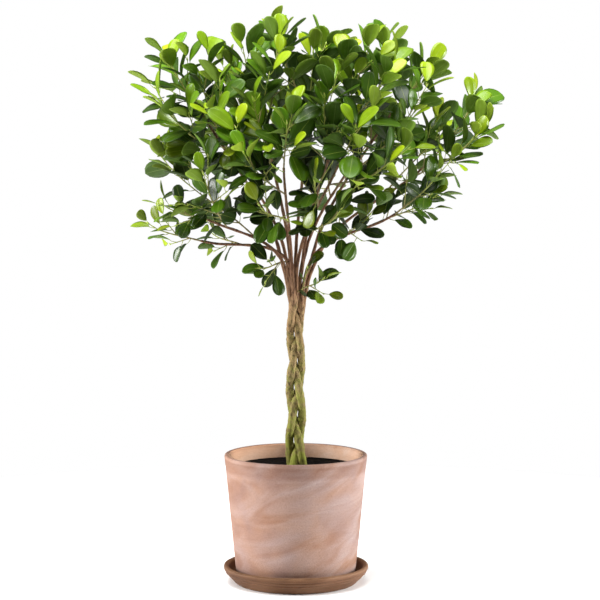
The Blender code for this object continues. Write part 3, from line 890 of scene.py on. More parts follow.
@dataclass
class Saucer:
    """The shallow dish under the pot, with a rolled rim over two grooves."""

    base_r: float = 0.105
    rim_r: float = 0.1262
    height: float = 0.032
    floor: float = 0.009
    turns: int = 160

    def build(self) -> None:
        """Turns the dish: a flat underside, a flared wall, two grooves and a rolled rim."""
        section = rounded(
            [
                (0.0006, 0.0, 0.0001),
                (self.base_r, 0.0, 0.0025),
                (self.base_r + 0.0120, 0.0120, 0.0030),
                (self.base_r + 0.0150, 0.0152, 0.0010),
                (self.base_r + 0.0142, 0.0164, 0.0006),
                (self.base_r + 0.0180, 0.0180, 0.0012),
                (self.base_r + 0.0192, 0.0208, 0.0010),
                (self.base_r + 0.0182, 0.0220, 0.0006),
                (self.rim_r + 0.0004, 0.0240, 0.0014),
                (self.rim_r + 0.0008, 0.0290, 0.0024),
                (self.rim_r - 0.0012, self.height + 0.0004, 0.0022),
                (self.rim_r - 0.0078, self.height - 0.0012, 0.0024),
                (0.1148, 0.0190, 0.0030),
                (0.1060, self.floor, 0.0030),
                (0.0006, self.floor, 0.0001),
            ],
            7,
        )
        skin = lathe_skin(section, self.turns)
        radius = np.linalg.norm(skin.points[:, :2], axis=1)
        uneven = 0.00045 * ripple(skin.points, 0.12, 3)
        skin.points[:, :2] *= (1 + uneven * (radius > 0.05) / radius)[:, None]
        show("saucer_turned", skin, [SAUCER_CLAY.material()], ["saucer"])


@dataclass
class PottingSoil:
    """The compost that fills the pot, crumbly on top."""

    top_z: float = 0.203
    bottom_z: float = 0.0216
    turns: int = 160

    def build(self, pot: TerracottaPot) -> None:
        """Makes one closed body: a level underside, a wall along the pot, and a top of lumps and crumbs.

        Args:
            pot: The pot that it fills.
        """
        reach = pot.outer_r(self.top_z) - pot.wall - 0.0008
        rising = np.array([[0.0006, self.bottom_z], [0.088, self.bottom_z], [0.095, self.bottom_z + 0.007]])
        inward = np.linspace(reach, 0.0006, 60)
        top = np.stack([inward, np.full(60, self.top_z)], axis=1)
        rings = lathe_rings(np.concatenate([rising, top]), self.turns)
        crumbs = ripple(rings, 0.045, 4) * 0.0008 + ripple(rings, 0.011, 5) * 0.0010
        crumbs += ripple(rings, 0.0048, 6) * 0.0007
        lifted = (rings[..., 2] > self.top_z - 0.001) & (np.arange(len(rings))[:, None] > 3)
        rings[..., 2] += np.where(lifted, crumbs - 0.0020, 0.0)
        skin = ring_skin(rings)
        show("potting_soil_crumbled", skin, [COMPOST.material()], ["potting_soil"])


# ---------------------------------------------------------------- the plait
@dataclass
class Plait:
    """Three stems plaited as they grew: each swings x = A sin a and y = B sin 2a as it rises."""

    soil_z: float = 0.203
    depth: float = 0.045
    top_z: float = 0.478
    crotch_z: float = 0.500
    period: float = 0.286
    phase_deg: float = 190.0
    phase_z: float = 0.471
    half_width: tuple[float, float] = (0.0122, 0.0098)
    half_depth: tuple[float, float] = (0.0104, 0.0094)
    stem_r: tuple[float, float] = (0.0062, 0.0054)
    crotch_r: float = 0.0082
    ring_r: float = 0.0100
    bearing_deg: tuple[float, float, float] = (125.0, 245.0, 5.0)

    def path(self, stem: int, low: float, high: float, count: int) -> np.ndarray:
        """A stem's centre line between two heights.

        Args:
            stem: 0, 1 or 2.
            low: The lower height.
            high: The upper height.
            count: How many points.

        Returns:
            The points, upwards.
        """
        z = np.append(np.linspace(low, high - 0.006, count - 1), high)
        rise = np.clip((z - self.soil_z) / (self.top_z - self.soil_z), 0.0, 1.0)
        wide = self.half_width[0] + (self.half_width[1] - self.half_width[0]) * rise
        deep = self.half_depth[0] + (self.half_depth[1] - self.half_depth[0]) * rise
        turned = np.clip(z, self.soil_z - 0.02, self.top_z) - self.phase_z
        angle = math.radians(self.phase_deg + 120.0 * stem) + turned * 2 * math.pi / self.period
        path = np.stack([wide * np.sin(angle), deep * np.sin(2 * angle), z], axis=1)
        opening = np.clip((z - self.top_z) / (self.crotch_z - 0.006 - self.top_z), 0.0, 1.0)[:, None]
        bearing = math.radians(self.bearing_deg[stem])
        away = self.ring_r * np.array([math.cos(bearing), math.sin(bearing)])
        path[:, :2] = path[:, :2] * (1 - opening) + away * opening
        return path

    def radii(self, path: np.ndarray) -> np.ndarray:
        """The stem's radius: it thins as it rises, and flares below the crotch.

        Args:
            path: The stem's centre line.

        Returns:
            One radius for each point.
        """
        rise = np.clip((path[:, 2] - self.soil_z) / (self.top_z - self.soil_z), 0.0, 1.0)
        plain = self.stem_r[0] + (self.stem_r[1] - self.stem_r[0]) * rise
        flare = np.clip((path[:, 2] - self.top_z) / (self.crotch_z - self.top_z), 0.0, 1.0) ** 1.5
        return plain + (self.crotch_r - plain) * flare

    def build(self, bark: bpy.types.Material) -> None:
        """Shows each stem, fatter than its solid where the real stems press into each other, and knotty.

        Args:
            bark: The stems' material.
        """
        for stem in range(3):
            path = self.path(stem, self.soil_z - self.depth, self.crotch_z, 200)
            path[:, 0] *= 0.95
            crown = np.array([[*path[-1, :2] * 0.9, self.crotch_z + up] for up in (0.006, 0.012, 0.018)])
            radii = np.minimum(self.radii(path) * 1.20, 0.0074)
            radii = np.concatenate([radii, np.array([0.0062, 0.0046, 0.0022])])
            path = np.concatenate([path, crown])
            foot = np.exp(-np.clip(path[:, 2] - self.soil_z, 0, 1) / 0.010) * 0.0012
            plain = tube_rings(path, radii + foot, 24)
            knots = 1 + 0.11 * ripple(plain * [1, 1, 0.6], 0.022, 10 + stem)
            knots += 0.05 * ripple(plain, 0.006, 20 + stem)
            skin = ring_skin(tube_rings(path, (radii + foot)[:, None] * knots, 24))
            show(f"stem_{stem + 1}_bark", skin, [bark], [f"plaited_stem_{stem + 1}"])


# ---------------------------------------------------------------- how the crown is laid out
LIMB_ENDS = {
    "low_left": (1, (-0.165, 0.005, 0.600)),
    "left": (1, (-0.150, -0.060, 0.640)),
    "front": (1, (-0.020, -0.105, 0.730)),
    "front_right": (1, (0.072, -0.105, 0.735)),
    "upper_left": (0, (-0.155, 0.000, 0.810)),
    "top_left": (0, (-0.070, -0.010, 0.850)),
    "top": (0, (0.010, 0.040, 0.840)),
    "back_left": (0, (-0.100, 0.115, 0.730)),
    "low_right": (2, (0.170, -0.055, 0.650)),
    "right": (2, (0.235, 0.010, 0.740)),
    "back_right": (2, (0.100, 0.118, 0.730)),
    "upper_right": (2, (0.165, 0.015, 0.820)),
    "top_right": (2, (0.090, -0.040, 0.840)),
}

SHOOT_TIPS = (
    ("low_left", 1.0, (-0.255, 0.000, 0.630)),
    ("low_left", 0.72, (-0.150, 0.060, 0.612)),
    ("low_left", 0.36, (-0.062, -0.045, 0.556)),
    ("left", 1.0, (-0.226, -0.085, 0.668)),
    ("left", 0.85, (-0.153, -0.160, 0.722)),
    ("left", 0.62, (-0.236, 0.020, 0.748)),
    ("front", 1.0, (-0.014, -0.205, 0.806)),
    ("front", 0.80, (-0.085, -0.200, 0.758)),
    ("front", 0.60, (-0.060, -0.190, 0.672)),
    ("front_right", 1.0, (0.098, -0.200, 0.800)),
    ("front_right", 0.85, (0.150, -0.200, 0.738)),
    ("front_right", 0.70, (0.030, -0.200, 0.715)),
    ("front_right", 0.50, (0.075, -0.160, 0.662)),
    ("front_right", 0.14, (0.046, -0.050, 0.538)),
    ("upper_left", 1.0, (-0.222, 0.000, 0.918)),
    ("upper_left", 0.90, (-0.165, -0.060, 0.892)),
    ("upper_left", 0.78, (-0.236, -0.070, 0.848)),
    ("upper_left", 0.68, (-0.140, -0.150, 0.828)),
    ("top_left", 1.0, (-0.091, -0.010, 0.934)),
    ("top_left", 0.85, (-0.030, -0.085, 0.915)),
    ("top_left", 0.66, (-0.070, -0.165, 0.845)),
    ("top_left", 0.75, (-0.125, 0.110, 0.880)),
    ("top", 1.0, (-0.040, 0.065, 0.960)),
    ("top", 0.85, (0.050, 0.110, 0.935)),
    ("top", 0.70, (0.030, 0.000, 0.925)),
    ("top_right", 1.0, (0.126, -0.060, 0.940)),
    ("top_right", 0.86, (0.150, -0.140, 0.884)),
    ("top_right", 0.70, (0.048, -0.165, 0.850)),
    ("upper_right", 1.0, (0.228, 0.000, 0.900)),
    ("upper_right", 0.86, (0.160, 0.060, 0.938)),
    ("upper_right", 0.70, (0.200, -0.110, 0.826)),
    ("right", 1.0, (0.306, 0.000, 0.836)),
    ("right", 0.85, (0.305, -0.085, 0.782)),
    ("right", 0.75, (0.250, 0.100, 0.790)),
    ("low_right", 1.0, (0.240, -0.120, 0.722)),
    ("low_right", 0.80, (0.250, 0.010, 0.684)),
    ("low_right", 0.55, (0.125, -0.115, 0.652)),
    ("back_right", 1.0, (0.160, 0.185, 0.810)),
    ("back_right", 0.75, (0.060, 0.190, 0.745)),
    ("back_left", 1.0, (-0.160, 0.180, 0.800)),
    ("back_left", 0.75, (-0.040, 0.190, 0.820)),
)


# ---------------------------------------------------------------- growth that keeps clear of itself
Solid = tuple[np.ndarray, list[list[int]]]


def tube(path: np.ndarray, radii: np.ndarray, sides: int) -> Solid:
    """A plain closed tube, as growth is tested with.

    Args:
        path: Points, one to a row.
        radii: One for each point.
        sides: How many sides it has.

    Returns:
        Its points and faces.
    """
    index = np.arange(len(path) * sides).reshape(-1, sides)
    right = np.roll(index, -1, axis=1)
    walls = np.stack([index[:-1], right[:-1], right[1:], index[1:]], axis=-1).reshape(-1, 4)
    ends = [index[0, ::-1].tolist(), index[-1].tolist()]
    return tube_rings(path, radii, sides).reshape(-1, 3), walls.tolist() + ends


def joined(one: Solid, other: Solid) -> Solid:
    """Two solids as one."""
    moved = [[i + len(one[0]) for i in face] for face in other[1]]
    return np.concatenate([one[0], other[0]]), one[1] + moved


def tree_of(solid: Solid) -> BVHTree:
    """A solid made ready for finding what touches it."""
    return BVHTree.FromPolygons(solid[0].tolist(), solid[1])


@dataclass
class Wood:
    """Every woody tube so far, so that new growth can be tested against it."""

    trees: dict[str, BVHTree] = field(default_factory=dict)

    def add(self, name: str, solid: Solid) -> None:
        """Remembers a tube."""
        self.trees[name] = tree_of(solid)

    def blocks(self, solid: Solid, leaving_out: str = "") -> bool:
        """Whether a solid touches any tube but the one left out."""
        tree = tree_of(solid)
        return any(tree.overlap(other) for name, other in self.trees.items() if name != leaving_out)


@dataclass(frozen=True)
class Leaf:
    """One leaf: where its stalk leaves the twig, how its blade lies, and its size."""

    foot: np.ndarray
    heading: np.ndarray
    face: np.ndarray
    stalk: float
    length: float
    width: float
    curl: float
    age: float

    def middle(self, t: np.ndarray) -> np.ndarray:
        """The midrib: straight at first, then bending down with t squared.

        Args:
            t: Shares of the blade's length.

        Returns:
            A point for each.
        """
        t = np.asarray(t, float)[:, None]
        straight = self.foot + self.heading * (self.stalk + self.length * t)
        return straight - self.face * self.curl * self.length * t**2

    def half_width(self, t: np.ndarray) -> np.ndarray:
        """Half the blade's width, as t^0.85 (1 - t)^0.5: widest past the middle, rounded at the tip.

        Args:
            t: Shares of the blade's length.

        Returns:
            Half the width at each.
        """
        t = np.asarray(t, float)
        widest = 0.85 / 1.35
        return self.width / 2 * (t**0.85 * (1 - t) ** 0.5) / (widest**0.85 * (1 - widest) ** 0.5)

    def slab(self, sections: tuple[float, ...], thick: float) -> Solid:
        """A closed body over the blade, as growth is tested with.

        Args:
            sections: Shares of the blade's length that get a four-sided section.
            thick: Half the body's thickness.

        Returns:
            Its points and faces.
        """
        across = np.cross(self.heading, self.face)
        foot = self.foot + self.heading * 0.3 * 0.0008
        middle = np.concatenate([[foot], self.middle(np.array(sections))])
        half = np.concatenate([[0.0006], np.maximum(self.half_width(np.array(sections)), thick)])
        lift = np.full(len(half), thick)
        lift[0] = 0.0006
        side, up = across * half[:, None], self.face * lift[:, None]
        rows = np.stack([middle - side, middle + up, middle + side, middle - up], axis=1)
        index = np.arange(len(rows) * 4).reshape(-1, 4)
        right = np.roll(index, -1, axis=1)
        walls = np.stack([index[:-1], right[:-1], right[1:], index[1:]], axis=-1).reshape(-1, 4)
        fan = np.stack([index[-1], right[-1], np.full(4, index.size)], axis=-1)
        points = np.concatenate([rows.reshape(-1, 3), self.middle(np.array([1.0]))])
        return points, walls.tolist() + fan.tolist() + [[3, 2, 1, 0]]


@dataclass
class Crown:
    """Limbs, leafy shoots, side twigs and leaves, grown by rule and from one seed."""

    plait: Plait
    seed: int = 20
    bundle_top_z: float = 0.560
    bundle_spread: float = 2.1
    limb_r: tuple[float, float] = (0.0024, 0.0016)
    limb_ring_r: float = 0.0056
    axis_r: tuple[float, float] = (0.0015, 0.0008)
    twig_r: tuple[float, float] = (0.0010, 0.0006)
    leaf_spacing: float = 0.0115
    leaf_tries: int = 9
    solid_sections: tuple[float, ...] = (0.45, 0.84)
    solid_half: float = 0.0006
    room_sections: tuple[float, ...] = (0.12, 0.38, 0.64, 0.86)
    room_half: float = 0.0013
    neighbour_reach: float = 0.096
    heart: np.ndarray = field(default_factory=lambda: np.array([0.02, 0.0, 0.60]))
    open_lines: tuple = (
        ((0.000, 0.500), (-0.012, 0.560), (-0.015, 0.740), (-0.013, 0.800)),
        ((0.005, 0.560), (0.037, 0.628), (0.068, 0.723), (0.089, 0.775)),
    )
    open_half: float = 0.014
    bare_r: float = 0.045
    bare_z: float = 0.600
    wood: Wood = field(default_factory=Wood)
    centres: list[np.ndarray] = field(default_factory=list)
    leaf_trees: list[BVHTree] = field(default_factory=list)

    def limbs(self) -> dict[str, np.ndarray]:
        """Grows each limb: up from its stem's top in a bundle, then arching over to its end.

        Returns:
            Each limb's path, by name.
        """
        grown = {}
        leading = {limb: np.array(tip) for limb, at, tip in SHOOT_TIPS if at == 1.0}
        for stem in range(3):
            top = self.plait.path(stem, self.plait.soil_z, self.plait.crotch_z, 60)[-1]
            names = [name for name, (own, _) in LIMB_ENDS.items() if own == stem]
            ends = np.array([LIMB_ENDS[name][1] for name in names])
            bearings = np.arctan2(ends[:, 1] - top[1], ends[:, 0] - top[0])
            order = np.argsort(bearings)
            steps = np.arange(len(names)) * 2 * math.pi / len(names)
            offset = np.angle(np.exp(1j * (bearings[order] - steps)).sum())
            for i, step in zip(order, steps):
                path = self.limb(top, offset + step, ends[i], leading[names[i]])
                grown[names[i]] = path
                self.wood.add(names[i], tube(path, np.linspace(*self.limb_r, len(path)) + GAP, 6))
        return grown

    def limb(self, top: np.ndarray, bearing: float, end: np.ndarray, tip: np.ndarray) -> np.ndarray:
        """One limb's path, bowed a little further at each try until it is clear.

        Args:
            top: The middle of its stem's top.
            bearing: Its way out round that top, in radians.
            end: Where it ends.
            tip: Where the shoot that carries it on ends.

        Returns:
            The path.
        """
        outward = np.array([math.cos(bearing), math.sin(bearing), 0.0])
        start = top + self.limb_ring_r * outward + UP * GAP
        knee = np.array([*(start[:2] * self.bundle_spread), self.bundle_top_z])
        rise = (self.bundle_top_z - self.plait.crotch_z) / 3
        reach = np.linalg.norm(end - knee)
        turning = unit(UP + unit(end - knee) * 0.6)
        arriving = unit(unit(tip - end) + unit(end - knee))
        for attempt in range(80):
            turn = attempt * 2.4
            bow = 0.006 * math.sqrt(attempt) * np.array([math.cos(turn), math.sin(turn), 0.0])
            bundled = bezier(start + UP * 0.003, start + UP * rise, knee - turning * rise, knee, 3)
            first_bend = knee + turning * reach * 0.34 + bow * 0.7
            free = bezier(knee, first_bend, end - arriving * reach * 0.32 + bow, end, 7)
            path = np.concatenate([[start], bundled, free[1:]])
            if not self.wood.blocks(tube(path, np.linspace(*self.limb_r, len(path)) + GAP, 6)):
                return path
        raise RuntimeError("a limb finds no clear way")

    def shoot_start(self, limb: np.ndarray, at: float, towards: np.ndarray) -> tuple[np.ndarray, np.ndarray]:
        """Where a shoot begins, clear of its limb's bark.

        Args:
            limb: The limb's path.
            at: How far along it the shoot leaves.
            towards: Where the shoot's tip will be.

        Returns:
            The shoot's first point, and the direction that it leaves in.
        """
        place, along = point_on(limb, at)
        wanted = unit(towards - place)
        if at == 1.0:
            leaving = unit(wanted + 0.35 * along)
            return place + leaving * (3 * GAP + self.axis_r[0] * 0.4), leaving
        outward = unit(wanted - along * (wanted @ along))
        angle = min(max(math.acos(wanted @ along) * 0.8, math.radians(42)), math.radians(75))
        leaving = along * math.cos(angle) + outward * math.sin(angle)
        limb_r = self.limb_r[0] + (self.limb_r[1] - self.limb_r[0]) * at
        away = (limb_r + 3 * GAP + self.axis_r[0] * math.cos(angle)) / math.sin(angle)
        return place + leaving * away, leaving

    def axes(self, limbs: dict[str, np.ndarray]) -> list[np.ndarray]:
        """Grows the main twig of each leafy shoot, from its limb to its bud.

        Args:
            limbs: Each limb's path, by name.

        Returns:
            The twigs' paths.
        """
        grown = []
        for number, (limb, at, goal) in enumerate(SHOOT_TIPS):
            tip = np.array(goal)
            start, leaving = self.shoot_start(limbs[limb], at, tip)
            reach = np.linalg.norm(tip - start)
            arriving = unit(unit(tip - start) + 0.45 * UP)
            for attempt in range(30):
                turn = attempt * 2.4
                bow = np.array([math.cos(turn), math.sin(turn), 0.4 * math.sin(2 * turn)])
                bow = 0.008 * math.sqrt(attempt) * bow
                last_bend = tip - arriving * reach * 0.3 + bow
                path = bezier(start, start + leaving * reach * 0.3 + bow * 0.5, last_bend, tip, 6)
                solid = tube(path, np.linspace(*self.axis_r, len(path)) + GAP, 4)
                if not self.wood.blocks(solid):
                    break
            else:
                raise RuntimeError("a shoot finds no clear way")
            grown.append(path)
            self.wood.add(f"axis_{number}", solid)
        return grown

    def side_twigs(self, number: int, axis: np.ndarray) -> list[tuple[int, np.ndarray]]:
        """Grows two or three short twigs that leave a shoot's axis by turns.

        Args:
            number: The shoot's place among the shoots.
            axis: Its main twig.

        Returns:
            The number and the path of each twig that found room.
        """
        twigs = []
        reach = np.linalg.norm(axis[-1] - axis[0])
        first, second = frames(axis)
        for k in range(3 if reach > 0.11 else 2):
            draw = np.random.default_rng([self.seed, number, k])
            share = 0.22 + 0.25 * k + draw.uniform(-0.04, 0.04)
            place, along = point_on(axis, share)
            row = int(share * (len(axis) - 1))
            length = min(0.085, max(0.04, 0.42 * reach)) * draw.uniform(0.8, 1.15)
            for attempt in range(12):
                turn = 2.4 * k + 0.7 * attempt + draw.uniform(-0.4, 0.4)
                outward = math.cos(turn) * first[row] + math.sin(turn) * second[row]
                heading = unit(along * 0.75 + outward * 0.8 + UP * 0.15)
                end = place + heading * length * (1 - 0.03 * attempt) + UP * length * 0.08
                path = bezier(place, place + heading * length * 0.35, end - heading * length * 0.3, end, 3)
                solid = tube(path, np.linspace(*self.twig_r, len(path)) + 2 * GAP, 4)
                if not self.wood.blocks(solid, f"axis_{number}"):
                    self.wood.add(f"twig_{number}_{k}", solid)
                    twigs.append((k, path))
                    break
        return twigs

    def leaf_at(
        self,
        place: np.ndarray,
        along: np.ndarray,
        outward: np.ndarray,
        spread: float,
        draw: np.random.Generator,
        share: float,
    ) -> Leaf:
        """A leaf that leaves its twig outwards at an angle to it, and faces the light.

        Args:
            place: The point of the twig's middle line that it grows from.
            along: The twig's direction there.
            outward: The way out from the twig, square to it.
            spread: The angle between the leaf and the twig.
            draw: The numbers that vary it.
            share: How far along the twig it is.

        Returns:
            The leaf.
        """
        heading = unit(along * math.cos(spread) + outward * math.sin(spread) + UP * (0.32 * share - 0.06))
        light = unit(place - self.heart) * 0.5 + UP * 0.75 + along * 0.25
        face = unit(light - heading * (light @ heading))
        roll = draw.normal(0.0, 0.5)
        face = face * math.cos(roll) + np.cross(heading, face) * math.sin(roll)
        low = 0.66 + 0.34 * min(1.0, max(0.0, (place[2] - 0.60) / 0.16))
        length = draw.uniform(0.044, 0.062) * low * (1.0 - 0.30 * max(0.0, share - 0.7) / 0.3)
        return Leaf(
            foot=place,
            heading=heading,
            face=face,
            stalk=draw.uniform(0.009, 0.013),
            length=length,
            width=length * draw.uniform(0.58, 0.70),
            curl=draw.uniform(0.02, 0.22),
            age=min(1.0, max(0.0, 1.15 - share + draw.normal(0.0, 0.12))),
        )

    def in_the_way(self, centre: np.ndarray) -> bool:
        """Whether a leaf would be before the wood that stays in view, or in the bare crotch.

        Args:
            centre: The leaf's middle.

        Returns:
            True if it may not grow there.
        """
        if centre[2] < self.bare_z and math.hypot(centre[0], centre[1]) < self.bare_r:
            return True
        if centre[1] > 0.0:
            return False
        spot = centre[[0, 2]]
        for line in self.open_lines:
            for a, b in zip(np.array(line), np.array(line[1:])):
                share = np.clip((spot - a) @ (b - a) / ((b - a) @ (b - a)), 0.0, 1.0)
                if np.linalg.norm(spot - a - share * (b - a)) < self.open_half:
                    return True
        return False

    def accepts(self, leaf: Leaf, own_twig: str) -> bool:
        """Keeps a leaf's place if it has room among the wood and the leaves so far.

        Args:
            leaf: The leaf.
            own_twig: The twig that it grows from, which it may touch.

        Returns:
            Whether it has room.
        """
        centre = leaf.middle(np.array([0.5]))[0]
        if self.in_the_way(centre):
            return False
        thin = leaf.slab(self.solid_sections, self.solid_half + GAP)
        solid = joined(leaf.slab(self.room_sections, self.room_half), thin)
        if self.wood.blocks(solid, own_twig):
            return False
        tree = tree_of(solid)
        if self.centres:
            apart = np.linalg.norm(np.array(self.centres) - centre, axis=1)
            near = np.flatnonzero(apart < self.neighbour_reach)
            if any(tree.overlap(self.leaf_trees[i]) for i in near):
                return False
        self.centres.append(centre)
        self.leaf_trees.append(tree)
        return True

    def leaves_on(
        self, path: np.ndarray, own_twig: str, key: tuple[int, int], first_share: float
    ) -> list[Leaf]:
        """Leaves up one twig in a spiral, closer to its line towards its bud.

        Args:
            path: The twig's path.
            own_twig: The twig's name among the wood.
            key: The twig's place in the seed.
            first_share: How far along the twig the first leaf is.

        Returns:
            The leaves that found room.
        """
        leaves = []
        reach = np.linalg.norm(np.diff(path, axis=0), axis=1).sum()
        first, second = frames(path)
        count = max(2, int(reach * (1 - first_share) / self.leaf_spacing) + 1)
        for k in range(count):
            share = first_share + (0.975 - first_share) * k / (count - 1)
            place, along = point_on(path, share)
            row = min(int(share * (len(path) - 1) + 0.5), len(path) - 1)
            for attempt in range(self.leaf_tries):
                draw = np.random.default_rng([self.seed, *key, k, attempt])
                turn = 2.4 * k + 0.45 * attempt * (-1) ** attempt + draw.uniform(-0.2, 0.2)
                spread = math.radians(66 - 34 * share + draw.uniform(-10, 10))
                outward = math.cos(turn) * first[row] + math.sin(turn) * second[row]
                leaf = self.leaf_at(place, along, outward, spread, draw, share)
                if self.accepts(leaf, own_twig):
                    leaves.append(leaf)
                    break
        return leaves


# ---------------------------------------------------------------- how wood and leaves look
@dataclass
class LimbWood:
    """The limbs, thicker than their solids low down, where the real ones crowd and grow together."""

    base_r: float = 0.0043
    end_r: float = 0.0021

    def build(self, limbs: dict[str, np.ndarray], plait: Plait, bark: bpy.types.Material) -> None:
        """Shows each limb: a knotty tube that swells out of its stem and thins towards its end.

        Args:
            limbs: Each limb's path, by name.
            plait: The stems that they rise from.
            bark: Their material.
        """
        for number, (name, path) in enumerate(limbs.items()):
            stem = LIMB_ENDS[name][0]
            core = plait.path(stem, 0.440, plait.crotch_z, 13)[[2, 5, 8]]
            lean = (path[0, :2] - plait.path(stem, 0.440, plait.crotch_z, 13)[-1, :2])[None]
            core[:, :2] += lean * np.array([[0.25], [0.40], [0.60]])
            fine = smoother(np.concatenate([core, path[:1], path[2:]]), 9)
            share = np.linspace(0.0, 1.0, len(fine))
            radii = self.end_r + (self.base_r - self.end_r) * (1 - share) ** 1.4
            radii *= 1 - 0.45 * np.clip(1 - (fine[:, 2] - 0.45) / 0.055, 0, 1)
            plain = tube_rings(fine, radii, 14)
            knots = 1 + 0.13 * ripple(plain, 0.030, 40 + number) + 0.05 * ripple(plain, 0.008, 60 + number)
            skin = ring_skin(tube_rings(fine, radii[:, None] * knots, 14))
            show(f"limb_{name}_bark", skin, [bark], [f"limb_{name}"])


